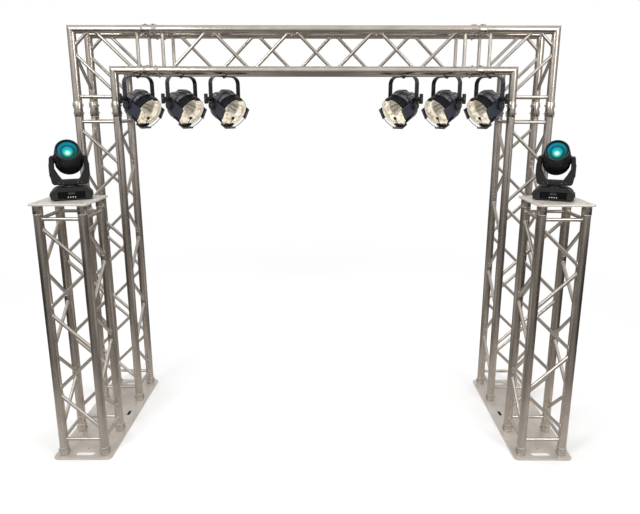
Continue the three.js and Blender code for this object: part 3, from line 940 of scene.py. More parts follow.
@dataclass
class TrussStock:
    """The tubes, beads and pins that all the trusses are welded up from."""

    chord_radius: float = 0.025
    bore_radius: float = 0.021
    chord_sides: int = 48
    end_chamfer: float = 0.0012
    pitch: float = 0.12
    clearance: float = 0.0003
    spigot_radius: float = 0.0206
    spigot_bore: float = 0.012
    spigot_length: float = 0.042
    spigot_root: float = 0.021
    brace_radius: float = 0.010
    brace_trim: float = 0.016
    bead_across: float = 0.0112
    bead_thickness: float = 0.0031
    bead_ripple: float = 0.0007
    bead_seat: float = 0.0238
    collar_thickness: float = 0.0021
    collar_ripple: float = 0.0005
    coupler_length: float = 0.049
    coupler_radius: float = 0.0263
    coupler_chamfer: float = 0.0018
    coupler_gap: float = 0.0004
    pin_inset: float = 0.024
    clip_radius: float = 0.0010
    clip_height: float = -0.0292
    templates: list = field(default_factory=list)

    def __post_init__(self) -> None:
        """Models each piece once."""
        self.rod = painted(turned([(self.brace_radius, 0), (self.brace_radius, 1)], 20), LOOK.brace)
        self.bead = painted(ring(self.bead_across, self.bead_thickness, 24, 6, self.bead_ripple), LOOK.weld)
        self.collar = painted(ring(
            self.chord_radius, self.collar_thickness, self.chord_sides, 6, self.collar_ripple), LOOK.weld)
        self.coupler = self.coupler_end()
        self.pin = self.coupler_pin()
        self.templates = [self.rod, self.bead, self.collar, self.coupler, self.pin]

    def tube(self, start: Vector, end: Vector, finish: Finish) -> Piece:
        """Models one hollow chord tube, with broken edges at its ends.

        Args:
            start: the middle of its first end.
            end: the middle of its other end.
            finish: its finish.

        Returns:
            The tube in its place.
        """
        length = (end - start).length
        outer, bore, edge = self.chord_radius, self.bore_radius, self.end_chamfer
        foot = [(bore, edge), (bore + edge / 2, 0), (outer - edge, 0), (outer, edge)]
        head = [(radius, length - height) for radius, height in reversed(foot)]
        return painted(turned(foot + head, self.chord_sides, True), finish, frame_of(start, end - start))

    def coupler_end(self) -> Piece:
        """Models the turned end of a chord, with the weld at its inner end.

        Returns:
            The end, with its face at Z = 0.
        """
        inner, outer = self.chord_radius - 0.001, self.coupler_radius
        long, edge, gap = self.coupler_length, self.coupler_chamfer, self.coupler_gap
        sleeve = turned([
            (inner, gap), (outer - edge, gap), (outer, edge), (outer, long - 2 * edge),
            (outer - edge / 2, long - edge), (inner, long - edge),
        ], self.chord_sides, True)
        return joined([painted(sleeve, LOOK.coupler), copy_of(self.collar, at(z=long))], "coupler end")

    def spigot(self, face: Vector, outward: Vector, finish: Finish, root: float | None = None) -> Piece:
        """Returns the hollow spigot that goes into the next chord.

        Args:
            face: the middle of the face that it stands on.
            outward: the direction in which it stands.
            finish: its finish.
            root: how deep it is let in behind the face.

        Returns:
            The spigot in its place.
        """
        outer, bore, long = self.spigot_radius, self.spigot_bore, self.spigot_length
        depth = self.spigot_root if root is None else root
        profile = [(bore, -depth), (outer, -depth), (outer, long * 0.75), (outer * 0.9, long), (bore, long)]
        return painted(turned(profile, 40, True), finish, frame_of(face, outward))

    def coupler_pin(self) -> Piece:
        """Models a tapered pin along Z with its spring clip.

        Returns:
            The pin and its clip.
        """
        pin = turned([
            (0.0026, -0.0335), (0.0042, -0.032), (0.0048, 0), (0.0056, 0.026), (0.0056, 0.0315),
            (0.0046, 0.033),
        ], 14)
        z = self.clip_height
        clip = swept(self.clip_radius, Vector((0.020, 0, z)), Vector((-1, 0, 0)), [
            (-0.030, 0, 0), ((-0.010, 0.0045, z), UP, -180, 8), (0.013, 0, 0),
            ((0.003, 0.0125, z), UP, 30, 3), (0.012, 0.004, 0),
        ], 6)
        return painted(joined([pin, clip], "coupler pin"), LOOK.steel)

    def brace(self, start: Vector, start_chord: Vector, end: Vector, end_chord: Vector) -> list[Piece]:
        """Puts a brace between points on two chord lines, with a bead round each of its ends.

        Args:
            start: the point on the first chord's line.
            start_chord: the first chord's direction.
            end: the point on the other chord's line.
            end_chord: the other chord's direction.

        Returns:
            The two beads and the bar.
        """
        along = (end - start).normalized()
        pieces, ends = [], []
        for place, chord, way in ((start, start_chord, along), (end, end_chord, -along)):
            slope = way.cross(chord).length
            outward = (way - chord * way.dot(chord)).normalized()
            seating = frame_of(place + way * (self.bead_seat / slope), outward, chord)
            pieces.append(copy_of(self.bead, seating @ Matrix.Diagonal((1 / slope, 1, 1, 1))))
            ends.append(place + way * (self.brace_trim / slope))
        first, last = ends
        scale = Matrix.Diagonal((1, 1, (last - first).length, 1))
        return pieces + [copy_of(self.rod, frame_of(first, along) @ scale)]

    def chord_end(self, face: Vector, inward: Vector) -> Piece:
        """Returns the turned end of a chord with its weld."""
        return copy_of(self.coupler, frame_of(face, inward))

    def chord_pin(self, face: Vector, inward: Vector, way: Vector) -> Piece:
        """Returns the pin that holds a chord to its spigot."""
        return copy_of(self.pin, frame_of(face + inward * self.pin_inset, way, inward))


@dataclass
class StraightTruss:
    """One welded length of box truss, standing on Z = 0 in its own frame."""

    stock: TrussStock
    finish: Finish
    length: float
    low: float
    high: float
    rungs: Pair
    diagonals: int
    gap: float = 0.008

    @property
    def corners(self) -> list[Pair]:
        """The four chord lines, anticlockwise from the front left one."""
        p = self.stock.pitch
        return [(-p, -p), (p, -p), (p, p), (-p, p)]

    def face(self, here: Pair, following: Pair) -> list[Piece]:
        """Welds the rungs and the zigzag between two neighbouring chords.

        Args:
            here: where the first chord stands.
            following: where the next one stands.

        Returns:
            The bars with their beads.
        """
        bars = [(here, z, following, z) for z in self.rungs]
        pitch = (self.high - self.low) / self.diagonals
        for n in range(self.diagonals):
            top, bottom = self.high - n * pitch - self.gap, self.high - (n + 1) * pitch + self.gap
            bars.append((here, top, following, bottom) if n % 2 == 0 else (following, top, here, bottom))
        pieces = []
        for start, high, end, low in bars:
            pieces += self.stock.brace(Vector((*start, high)), UP, Vector((*end, low)), UP)
        return pieces

    def build(self, name: str, place: Matrix, node: str, pin_ways: Sequence[Vector]) -> None:
        """Welds the truss up, places it and pins it.

        Args:
            name: the name of the finished piece.
            place: where the truss stands or lies.
            node: the CAD node that it stands for.
            pin_ways: the direction of the pins at the bottom and at the top, in the truss's own frame.
        """
        small = self.stock.clearance / 2
        pieces, pins = [], []
        for n, (x, y) in enumerate(self.corners):
            foot, head = Vector((x, y, small)), Vector((x, y, self.length - small))
            pieces.append(self.stock.tube(foot, head, self.finish))
            pieces += self.face((x, y), self.corners[(n + 1) % 4])
            for end in (0, 1):
                face, inward = Vector((x, y, end * self.length)), UP * (1 - 2 * end)
                pieces.append(self.stock.chord_end(face, inward))
                way = pin_ways[end] * (-1 if x > 0 and pin_ways[end].x else 1)
                pins.append(self.stock.chord_pin(face, inward, way))
        seat(moved(joined(pieces, name), place), STRUCTURE, [node])
        seat(moved(joined(pins, f"{name}_pins"), place), STRUCTURE)


@dataclass
class CornerBlock:
    """One welded corner of the arch, for the side given as -1 or 1."""

    stock: TrussStock
    side: int
    name: str
    half_width: float = 1.5
    arm: float = 0.5
    top: float = 2.51
    row: float = 0.305
    rung_inset: float = 0.077
    near: float = 0.118
    far: float = 0.134
    across: float = 0.366
    tie: float = 0.110
    mitre_gap: float = 0.0002

    def bars(self, outer: Vector, inner: Vector) -> list[tuple]:
        """Lists the bars of the corner.

        Args:
            outer: where the lines of the outer chords meet.
            inner: where the lines of the inner chords meet.

        Returns:
            A start, its chord's direction, an end and its chord's direction for each bar.
        """
        s, x_way, z_way = self.side, Vector((1, 0, 0)), UP
        front, back = self.row - self.stock.pitch, self.row + self.stock.pitch
        rung_x = s * (self.half_width - self.arm + self.rung_inset)
        rung_z = self.top - self.arm + self.rung_inset
        ox, oz, ix, iz = outer.x, outer.z, inner.x, inner.z
        bars = [
            ((ix, front, iz), x_way, (ix, back, iz), x_way),
            ((ox, front, oz - self.near), z_way, (ox, back, oz - self.across), z_way),
            ((ox - s * self.near, front, oz), x_way, (ox - s * self.across, back, oz), x_way),
        ]
        for y in (front, back):
            bars += [
                ((rung_x, y, iz), x_way, (rung_x, y, oz), x_way),
                ((ox, y, rung_z), z_way, (ix, y, rung_z), z_way),
                ((ox, y, oz - self.tie), z_way, (ox - s * self.tie, y, oz), x_way),
                ((ox - s * self.far, y, oz), x_way, (ix - s * self.far, y, iz), x_way),
                ((ox, y, oz - self.far), z_way, (ix, y, iz - self.far), z_way),
            ]
        for x, z in ((ox, oz), (ix, iz)):
            bars += [
                ((rung_x, front, z), x_way, (rung_x, back, z), x_way),
                ((x, front, rung_z), z_way, (x, back, rung_z), z_way),
            ]
        return [(Vector(start), start_way, Vector(end), end_way) for start, start_way, end, end_way in bars]

    def mitred(self, start: Vector, corner: Vector, other: Vector, finish: Finish) -> Piece:
        """Models one chord arm, cut off along the plane that halves the corner.

        Args:
            start: the arm's open end.
            corner: where the two arms meet.
            other: the open end of the other arm.
            finish: its finish.

        Returns:
            The arm in its place.
        """
        along, across = (corner - start).normalized(), (corner - other).normalized()
        arm = self.stock.tube(start, corner + along * 2 * self.stock.chord_radius, finish)
        begin(arm)
        bpy.ops.mesh.bisect(plane_co=corner - along * self.mitre_gap, plane_no=(along - across).normalized(),
                            clear_outer=True, use_fill=False)
        bpy.ops.object.mode_set(mode="OBJECT")
        return arm

    def mitre_bead(self, corner: Vector, along: Vector, across: Vector) -> Piece:
        """Returns the oval weld bead round a mitre."""
        place = frame_of(corner, (along - across).normalized(), (along + across).normalized())
        return copy_of(self.stock.collar, place @ Matrix.Diagonal((math.sqrt(2), 1, 0.6, 1)))

    def build(self) -> None:
        """Welds the corner up and pins it to the beam and to the leg."""
        stock, s = self.stock, self.side
        radius, pitch = stock.chord_radius, stock.pitch
        inset = stock.clearance / 2 - self.arm
        end_x, end_z = self.half_width + inset, self.top + inset
        outer = Vector((s * (self.half_width - radius), 0, self.top - radius))
        inner = Vector((outer.x - s * 2 * pitch, 0, outer.z - 2 * pitch))
        to_beam, to_leg = Vector((-s, 0, 0)), Vector((0, 0, -1))
        pieces, pins = [], []
        for bar in self.bars(outer, inner):
            pieces += stock.brace(*bar)
        for y in (self.row - pitch, self.row + pitch):
            for end in (outer, inner):
                corner = Vector((end.x, y, end.z))
                beam_face, leg_face = Vector((s * end_x, y, end.z)), Vector((end.x, y, end_z))
                pieces += [
                    self.mitred(beam_face, corner, leg_face, LOOK.along),
                    self.mitred(leg_face, corner, beam_face, LOOK.upright),
                    self.mitre_bead(corner, -to_beam, -to_leg),
                    stock.spigot(beam_face, to_beam, LOOK.along),
                    stock.spigot(leg_face, to_leg, LOOK.upright),
                    stock.chord_end(beam_face, -to_beam),
                    stock.chord_end(leg_face, -to_leg),
                ]
                pins.append(stock.chord_pin(beam_face, -to_beam, -UP))
                pins.append(stock.chord_pin(leg_face, -to_leg, Vector((1 if end.x < 0 else -1, 0, 0))))
        seat(joined(pieces, f"corner_tubes_{self.name}"), STRUCTURE,
             [f"corner_block_{self.name}"])
        seat(joined(pins, f"corner_pins_{self.name}"), STRUCTURE)


@dataclass
class Plates:
    """The floor plate and the top plate of one side."""

    stock: TrussStock
    side: int
    name: str
    x: float = 1.355
    front: float = -0.305
    back: float = 0.305
    width: float = 0.34
    length: float = 0.95
    top_width: float = 0.314
    spigot_root: float = 0.006
    thickness: float = 0.010
    rim: float = 0.0012
    corner: float = 0.028
    top_corner: float = 0.018
    tower_top: float = 1.51
    handle: Pair = (0.115, 0.038)
    handle_place: float = 0.423
    screw_radius: float = 0.0062
    small_screw_radius: float = 0.0042
    badge_size: Triple = (0.018, 0.048, 0.001)
    badge_place: Pair = (0.107, 0.011)
    screw_places: tuple = (
        (0.119, 0.218), (0.115, 0.125), (0.115, -0.108), (0.122, -0.396), (-0.12, 0.218), (-0.12, 0.125),
        (-0.125, -0.11), (-0.12, -0.396), (0.0, 0.224), (0.0, 0.085), (0.0, 0.01), (0.0, -0.378),
    )

    def plate(self, size: Pair, corner: float, place: Vector, finish: Finish) -> Piece:
        """Models a plate with rounded corners.

        Args:
            size: its width and length.
            corner: the radius of its corners.
            place: the middle of its underside.
            finish: its finish.

        Returns:
            The plate.
        """
        obj = cube((*size, self.thickness), place + UP * (self.thickness / 2))
        heights = [vertex.co.z for vertex in obj.data.vertices]
        upright = [edge.index for edge in obj.data.edges
                   if abs(heights[edge.vertices[0]] - heights[edge.vertices[1]]) > self.thickness / 2]
        begin(obj, "EDGE", upright)
        bpy.ops.mesh.bevel(offset=corner, segments=10)
        bpy.ops.object.mode_set(mode="OBJECT")
        return painted(obj, finish)

    def handle_tool(self, x: float, y: float) -> Piece:
        """Models the cutter of one handle hole.

        Args:
            x, y: the middle of the hole.

        Returns:
            The cutter.
        """
        long, wide = self.handle
        reach = (long - wide) / 2
        outline = arc((reach, 0), wide / 2, -90, 90, 12) + arc((-reach, 0), wide / 2, 90, 270, 12)
        return moved(prism(outline, 4 * self.thickness), at(x, y, self.thickness / 2) @ FORWARD)

    def screw(self, radius: float) -> Piece:
        """Models a countersunk socket screw, flush in the plate's top.

        Args:
            radius: the radius of its head.

        Returns:
            The screw, with the plate's top at Z = 0.
        """
        return painted(turned([
            (radius, -0.0006), (radius, 0.0005), (radius * 0.86, 0.0008), (radius * 0.5, 0.0008),
            (radius * 0.46, -0.0002), (radius * 0.2, -0.0002),
        ], 24), LOOK.dark_steel)

    def spigots(self, row: float, z: float, outward: Vector, finish: Finish) -> list[Piece]:
        """Returns the four spigots of one truss on a plate's face."""
        return [self.stock.spigot(Vector((x, y, z)), outward, finish, self.spigot_root)
                for x, y in self.chords(row)]

    def chords(self, row: float) -> list[Pair]:
        """Returns where the four chords of a truss stand."""
        pitch = self.stock.pitch
        return [(self.side * self.x + sx * pitch, row + sy * pitch) for sx in (-1, 1) for sy in (-1, 1)]

    def build(self) -> None:
        """Cuts the plates, adds their spigots and screws, and seats them."""
        x, thick = self.side * self.x, self.thickness
        base = self.plate((self.width, self.length), self.corner, Vector((x, 0, 0)), LOOK.plate)
        for y in (-self.handle_place, self.handle_place):
            base = cut_away(base, self.handle_tool(x, y))
        pieces = [bevelled(base, self.rim)]
        for row in (self.front, self.back):
            pieces += self.spigots(row, thick, UP, LOOK.plate)
        seat(joined(pieces, f"floor_plate_{self.name}"), STRUCTURE,
             [f"base_plate_{self.name}"])
        shelf = self.plate((self.top_width, self.top_width), self.top_corner,
                           Vector((x, self.front, self.tower_top)), LOOK.shelf)
        pieces = [bevelled(shelf, self.rim), *self.spigots(self.front, self.tower_top, -UP, LOOK.shelf)]
        seat(joined(pieces, f"top_shelf_{self.name}"), STRUCTURE,
             [f"top_plate_{self.name}"])
        screw, small = self.screw(self.screw_radius), self.screw(self.small_screw_radius)
        heads = [copy_of(screw, at(*place, self.tower_top + thick)) for place in self.chords(self.front)]
        heads += [copy_of(small, at(x - self.side * across, y, thick)) for across, y in self.screw_places]
        seat(joined(heads, f"plate_screws_{self.name}"), STRUCTURE)
        forget(screw, small)
        across, y = self.badge_place
        badge = block(self.badge_size, (x - self.side * across, y, thick + 0.0006), 0.0003)
        badge.name = f"floor_badge_{self.name}"
        seat(painted(badge, LOOK.badge), STRUCTURE)


@dataclass
class CanLamp:
    """A can lamp in its own frame: the tilt pins lie along X, the light goes along -Y, the knob is at -X."""

    yaw: float = 53
    fan: float = 5
    pitch: float = 31
    row: float = 0.185
    axle_z: float = 2.034
    sides: int = 56
    yoke_top: float = 0.176
    arm_inside: float = 0.112
    yoke_bar: float = 0.005
    yoke_width: float = 0.032
    yoke_bend: float = 0.046
    eye: float = 0.024
    strap_root: float = 0.0152
    cheek: float = 0.102
    cheek_height: float = 0.070
    filler_radius: float = 0.027
    filler_depth: float = 0.0082
    frame_depth: float = 0.107
    frame_width: float = 0.084
    wall: float = 0.004
    edge_round: float = 0.0011
    lip: float = 0.010
    cheek_lip: float = 0.0065
    mouth_depth: float = 0.074
    tray_depth: float = 0.051
    quadrant_x: float = 0.1045
    quadrant_radius: float = 0.052
    quadrant_rim: float = 0.0475
    quadrant_arc: Pair = (-9, 115)
    wire_radius: float = 0.0021
    guard_radius: float = 0.1025
    guard_y: float = -0.0985
    guard_arc: Pair = (-72, -18)
    rivets: Triple = (-0.026, 0.0, 0.026)
    ribs_at: tuple = ((0, 0.042), (-44, 0.013), (44, 0.013), (180, 0.042), (136, 0.013), (-136, 0.013))
    vent: Pair = (0.040, 0.0815)
    vent_slope: float = -31
    vents_at: tuple = (-62, -29, 29, 62, 118, 151, 209, 242)
    knob_rise: float = 0.040
    lens_radius: float = 0.089
    chord_radius: float = 0.025
    clearance: float = 0.0003
    pieces: dict = field(default_factory=dict)

    def shell(self) -> list[Piece]:
        """Models the turned can with a black lining in its groove, painted shade of the recess, and the dark
        sleeve at its mouth.

        Returns:
            The can, the groove and the sleeve.
        """
        can = turned([
            (0.020, -0.108), (0.034, -0.107), (0.038, -0.102), (0.043, -0.074), (0.052, -0.069),
            (0.063, -0.067), (0.070, -0.061), (0.089, -0.030), (0.0930, -0.022), (0.0945, 0.020),
            (0.0945, 0.027), (0.0890, 0.030), (0.0890, 0.054), (0.0955, 0.057), (0.0960, 0.0615),
            (0.0940, 0.0625), (0.0940, 0.0650),
            (0.0965, 0.066), (0.0965, 0.072), (0.0955, 0.074), (0.0935, 0.074), (0.0932, 0.0575),
            (0.0875, 0.056), (0.0850, -0.020), (0.060, -0.060), (0.004, -0.063),
        ], self.sides)
        # Painted shade: a thin black ring lines the recessed groove.
        groove = [(0.0885, 0.0298), (0.0897, 0.0298), (0.0897, 0.0542), (0.0885, 0.0542)]
        sleeve = [(0.0940, 0.0576), (0.0967, 0.0582), (0.0967, 0.0735), (0.0940, 0.0738)]
        return [painted(can, LOOK.coat, FORWARD)] + [
            painted(turned(profile, self.sides, True), LOOK.front, FORWARD) for profile in (groove, sleeve)]

    def tongue(self, radius: float, depth: float, steps: int) -> list[Pair]:
        """Returns the outline of a flat cheek with a round rear end."""
        return [(-depth, -radius)] + arc((0, 0), radius, -90, 90, steps) + [(-depth, radius)]

    def cheeks(self) -> list[Piece]:
        """Models the flat cheeks, their bosses, the tilt pins and the lips of the frame holder.

        Returns:
            The pieces of both sides.
        """
        cheek, wall, deep, lip = self.cheek, self.wall, self.frame_depth, self.cheek_lip
        parts, pins, faces = [], [], []
        for side in (-1, 1):
            plate = prism(self.tongue(self.cheek_height / 2, deep, 14), wall, self.edge_round)
            # The flat cheek plates take the lighter cheek paint, which is painted light.
            faces.append(painted(plate, LOOK.cheek, at(side * (cheek - wall / 2)) @ QUARTER))
            filler = prism(self.tongue(self.filler_radius, self.mouth_depth, 12), self.filler_depth)
            place = at(side * (cheek - wall + 0.001 - self.filler_depth / 2)) @ QUARTER
            edge_place = (side * (cheek - lip / 2), wall / 2 - deep, 0)
            edge = block((lip, wall, self.cheek_height - wall), edge_place)
            boss = turned([(0.017, 0), (0.017, 0.0082), (0.0158, 0.0094), (0.009, 0.0094)], 32)
            pin = turned([
                (0.007, 0), (0.007, 0.0170), (0.0060, 0.0182), (0.0032, 0.0182), (0.0026, 0.0165)], 20)
            parts += [painted(filler, LOOK.coat, place), painted(edge, LOOK.coat),
                      painted(boss, LOOK.coat, sideways(side, cheek))]
            pins.append(painted(pin, LOOK.dark_steel, sideways(side, cheek)))
        return parts + pins + faces

    def quadrant(self) -> list[Piece]:
        """Models the sector that the knob clamps, and its raised rim.

        Returns:
            The sector and the rim.
        """
        radius, rim, place = self.quadrant_radius, self.quadrant_rim, at(-self.quadrant_x) @ QUARTER
        low, high = self.quadrant_arc
        sector = prism([(0, 0)] + arc((0, 0), radius, low, high, 20), 0.005, 0.0008)
        band = arc((0, 0), radius, low + 1, high - 1, 20) + arc((0, 0), rim, high - 1, low + 1, 20)
        edge = prism(band, 0.0072, 0.0006, 1)
        return [painted(sector, LOOK.coat, place), painted(edge, LOOK.coat, place)]

    def tray(self) -> list[Piece]:
        """Models the tray under the mouth that a colour frame stands in, with its lip and rivets.

        Returns:
            The pieces of the tray.
        """
        wide, deep, low, wall = self.frame_width, self.frame_depth, self.cheek, self.wall
        long, lip, rounding = self.tray_depth, self.lip, self.edge_round
        parts = [painted(one, LOOK.coat) for one in (
            block((wide, long, wall), (0, long / 2 - deep, wall / 2 - low), rounding),
            block((wide, wall, lip), (0, wall / 2 - deep, lip / 2 - low), rounding),
            block((wide, 0.016, 0.014), (0, 0.008 - self.mouth_depth, 0.0075 - low), 0.0014),
        )]
        for x in self.rivets:
            rivet = turned([(0.0042, 0), (0.0038, 0.0012), (0.0018, 0.0020)], 12)
            parts.append(painted(rivet, LOOK.steel, at(x, 0.020 - deep, wall - low)))
        return parts + self.guard_wires()

    def guard_wires(self) -> list[Piece]:
        """Models the thin wires from the tray up to the cheeks in front of the lens.

        Returns:
            The right wire and the left one.
        """
        first, last = self.guard_arc
        across, upward = math.cos(math.radians(first)), math.sin(math.radians(first))
        start = Vector((self.guard_radius * across, self.guard_y, self.guard_radius * upward))
        bend = ((0, self.guard_y, 0), (0, 1, 0), first - last, 14)
        right = painted(swept(self.wire_radius, start, Vector((-upward, 0, across)), [bend]), LOOK.yoke)
        return [right, copy_of(right, Matrix.Diagonal((-1, 1, 1, 1)))]

    def ribs(self) -> list[Piece]:
        """Models the raised ribs that run along the can, and between them black blocks for the vents, painted
        shade of the openings.

        Returns:
            The ribs and the vents.
        """
        ribs = []
        outline = [(-0.036, 0.090), (-0.034, 0.0995), (0.008, 0.0995), (0.034, 0.0935), (0.060, 0.0770),
                   (0.064, 0.0690), (0.060, 0.064), (0.020, 0.086)]
        for angle, wide in self.ribs_at:
            ribs.append(painted(prism(outline, wide, 0.0022), LOOK.coat, turn(angle, "Y") @ QUARTER))
        # Painted shade: black blocks stand for the vent slots, whose dark comes from shade inside them.
        for angle in self.vents_at:
            place = turn(angle, "Y") @ at(0, *self.vent) @ turn(self.vent_slope, "X")
            ribs.append(painted(block((0.0075, 0.016, 0.004)), LOOK.knob, place))
        return ribs

    def housing(self) -> Piece:
        """Returns the die-cast can with all that is fixed to it."""
        return joined([*self.shell(), *self.cheeks(), *self.quadrant(), *self.tray(), *self.ribs()],
                      "can housing")

    def reflector(self) -> Piece:
        """Models the silvered bowl with its burner and the catch that shows in front of it.

        Returns:
            The joined piece.
        """
        bowl = face_map(turned([
            (0.020, -0.046), (0.020, -0.036), (0.052, -0.018), (0.069, 0.000), (0.086, 0.0563),
            (0.0925, 0.0566), (0.0925, 0.0695), (0.0905, 0.0700), (0.0890, 0.0660), (0.0830, 0.0500),
            (0.0740, 0.0240), (0.0630, 0.0020), (0.048, -0.014), (0.030, -0.025), (0.012, -0.029),
            (0.004, -0.029),
        ], self.sides), self.lens_radius)
        burner = turned([
            (0.011, -0.030), (0.011, -0.016), (0.008, -0.013), (0.008, 0.012), (0.005, 0.018),
            (0.0012, 0.020),
        ], 20)
        foot, head = Vector((0.016, -0.0775, -0.089)), Vector((0.021, -0.0775, -0.044))
        arm = turned([(0.002, 0), (0.002, (head - foot).length)], 10)
        return joined([
            painted(bowl, LOOK.reflector, FORWARD), painted(burner, LOOK.button, FORWARD),
            painted(arm, LOOK.knob, frame_of(foot, head - foot)),
            painted(block((0.020, 0.009, 0.019), bevel=0.004), LOOK.knob, frame_of(head, head - foot)),
        ], "reflector")

    def lens(self) -> Piece:
        """Models the shallow glass in front of the reflector.

        Returns:
            The glass.
        """
        return painted(turned([
            (0.0900, 0.0703), (0.0900, 0.0722), (0.080, 0.0730), (0.052, 0.0736), (0.022, 0.0737),
            (0.003, 0.0737),
        ], self.sides), LOOK.lens, FORWARD)

    def bezel(self) -> Piece:
        """Models the front ring, with a cream painted highlight on the left and right of its inner side, and
        the latch on its top.

        Returns:
            The joined piece.
        """
        rim = painted(turned([
            (0.0880, 0.0743), (0.0945, 0.0743), (0.0960, 0.0757), (0.0960, 0.0865), (0.0945, 0.0883),
            (0.0935, 0.0883), (0.0925, 0.0868), (0.0915, 0.0820), (0.0880, 0.0790),
        ], self.sides, True), LOOK.front)
        # Painted highlight: inner faces away from the top and bottom take the cream paint, standing in for a
        # lit inner wall.
        rim.data.materials.append(LOOK.cream.material())
        for face in rim.data.polygons:
            inward = face.center.x * face.normal.x + face.center.y * face.normal.y < 0
            face.material_index = int(inward and abs(face.center.x) > 0.4 * self.lens_radius)
        latch = (
            ((0.034, 0.024, 0.0036), (0, -0.0863, 0.1010), 0.0010),
            ((0.034, 0.0035, 0.013), (0, -0.0965, 0.0965), 0.0010),
            ((0.010, 0.018, 0.009), (-0.010, -0.0830, 0.0962), 0.0012),
            ((0.010, 0.018, 0.009), (0.010, -0.0830, 0.0962), 0.0012),
        )
        blocks = [painted(block(*one), LOOK.knob) for one in latch]
        return joined([moved(rim, FORWARD), *blocks], "front ring")

    def yoke(self) -> Piece:
        """Models the flat bar, bent into an upside-down U, with an eye at each end.

        Returns:
            The joined piece.
        """
        out, mid = self.arm_inside + self.yoke_bar, self.arm_inside + self.yoke_bar / 2
        bend, top, root, eye = self.yoke_bend, self.yoke_top, self.strap_root, self.eye
        strap = swept((self.yoke_bar, self.yoke_width), Vector((-mid, 0, root)), UP, [
            (0, 0, top - bend - root), ((bend - out, 0, top - bend), (0, 1, 0), 90, 12),
            (2 * (out - bend), 0, 0), ((out - bend, 0, top - bend), (0, 1, 0), 90, 12),
            (0, 0, root - top + bend),
        ])
        parts = [painted(bevelled(strap, 0.0009), LOOK.yoke)]
        for side in (-1, 1):
            end = turned([
                (0.0075, -0.0001), (eye - 0.001, -0.0001), (eye, 0.0009), (eye, 0.0042),
                (eye - 0.001, 0.0052), (0.0145, 0.0052), (0.0140, 0.0040), (0.0122, 0.0040),
                (0.0117, 0.0052), (0.0075, 0.0052),
            ], 40, True)
            washer = turned([(0.0076, 0), (0.0105, 0), (0.0105, 0.0014), (0.0076, 0.0014)], 24, True)
            parts += [painted(end, LOOK.yoke, sideways(side, self.arm_inside)),
                      painted(washer, LOOK.dark_steel, sideways(side, out + self.clearance))]
        return joined(parts, "yoke")

    def knob(self) -> Piece:
        """Models the upright hand lever with its hub, cap and stud.

        Returns:
            The joined piece.
        """
        out, rise = self.arm_inside + self.yoke_bar, self.knob_rise
        place = sideways(-1, out, rise)
        hub = turned([
            (0.0105, 0.0004), (0.0120, 0.0016), (0.0120, 0.0120), (0.0108, 0.0135), (0.0108, 0.0160),
            (0.0120, 0.0175), (0.0120, 0.0370), (0.0100, 0.0390),
        ], 28)
        lever = block((0.019, 0.018, 0.060), (-(out + 0.0368), 0, rise), 0.0045, 3)
        cap = turned([(0.0075, 0.0450), (0.0075, 0.0458), (0.0062, 0.0466), (0.0030, 0.0466)], 24)
        stud = turned([(0.005, self.cheek + 0.0053 - out), (0.005, 0.010), (0.0042, 0.012)], 16)
        return joined([painted(hub, LOOK.knob, place), painted(lever, LOOK.knob),
                       painted(cap, LOOK.dark_steel, place), painted(stud, LOOK.steel, place)], "hand lever")

    def hanging_bolt(self) -> Piece:
        """Models the saddle under the chord with its bolt, washer and nut.

        Returns:
            The joined piece, with the yoke's top at Z = 0.
        """
        radius = self.chord_radius + self.clearance
        tool = moved(turned([(radius, -0.05), (radius, 0.05)], 48), at(z=0.035) @ turn(90, "Y"))
        saddle = cut_away(block((0.030, 0.028, 0.015), (0, 0, 0.0075), 0.0015), tool)
        bolt = turned([(0.008, -0.0126), (0.009, -0.0118), (0.009, -0.0062), (0.0085, -0.0056),
                       (0.005, -0.0056), (0.005, 0.024), (0.0045, 0.0245)], 6)
        washer = turned([
            (0.0056, -0.0068), (0.0115, -0.0068), (0.0115, -0.0056), (0.0056, -0.0056)], 24, True)
        return joined([painted(one, LOOK.dark_steel) for one in (saddle, bolt, washer)], "hanging bolt")

    def model(self) -> None:
        """Models each piece of the lamp once."""
        self.pieces = {
            "housing": self.housing(), "reflector": self.reflector(), "lens": self.lens(),
            "bezel": self.bezel(), "knob": self.knob(), "yoke": self.yoke(), "bolt": self.hanging_bolt(),
        }

    def hang(self, number: int, x: float, rank: int) -> None:
        """Hangs a copy of the lamp under the beam, turned to the middle.

        Args:
            number: the lamp's number from left to right.
            x: its place along the beam.
            rank: how many lamps hang between it and the middle, each of which turns it a little more.
        """
        side = -1 if x < 0 else 1
        mirror = Matrix.Diagonal((-side, 1, 1, 1))
        swing = at(x, self.row, self.axle_z) @ turn(-side * (self.yaw + rank * self.fan), "Z")
        tilt = swing @ turn(self.pitch, "X")
        bolt_place = at(x, self.row, self.axle_z + self.yoke_top + self.clearance)
        can, arms = f"lamp_{number}_can", f"lamp_{number}_yoke"
        plan = (
            ("housing", tilt, can, "black_paint", "housing"),
            ("reflector", tilt, can, "lamp_glass", "sealed_lamp"),
            ("lens", tilt, can, "lamp_glass", None),
            ("bezel", tilt, can, "black_paint", "bezel"),
            ("knob", swing, arms, "knob_plastic", "tilt_knob"),
            ("yoke", swing, arms, "black_paint", "yoke"),
            ("bolt", bolt_place, STRUCTURE, "bolt_steel", "hanging_bolt"),
        )
        for part, place, body, slot, node in plan:
            piece = copy_of(self.pieces[part], place @ mirror)
            piece.name = f"can_{number}_{part}"
            seat(piece, body, [f"lamp_{number}_{node}"] if node else [])


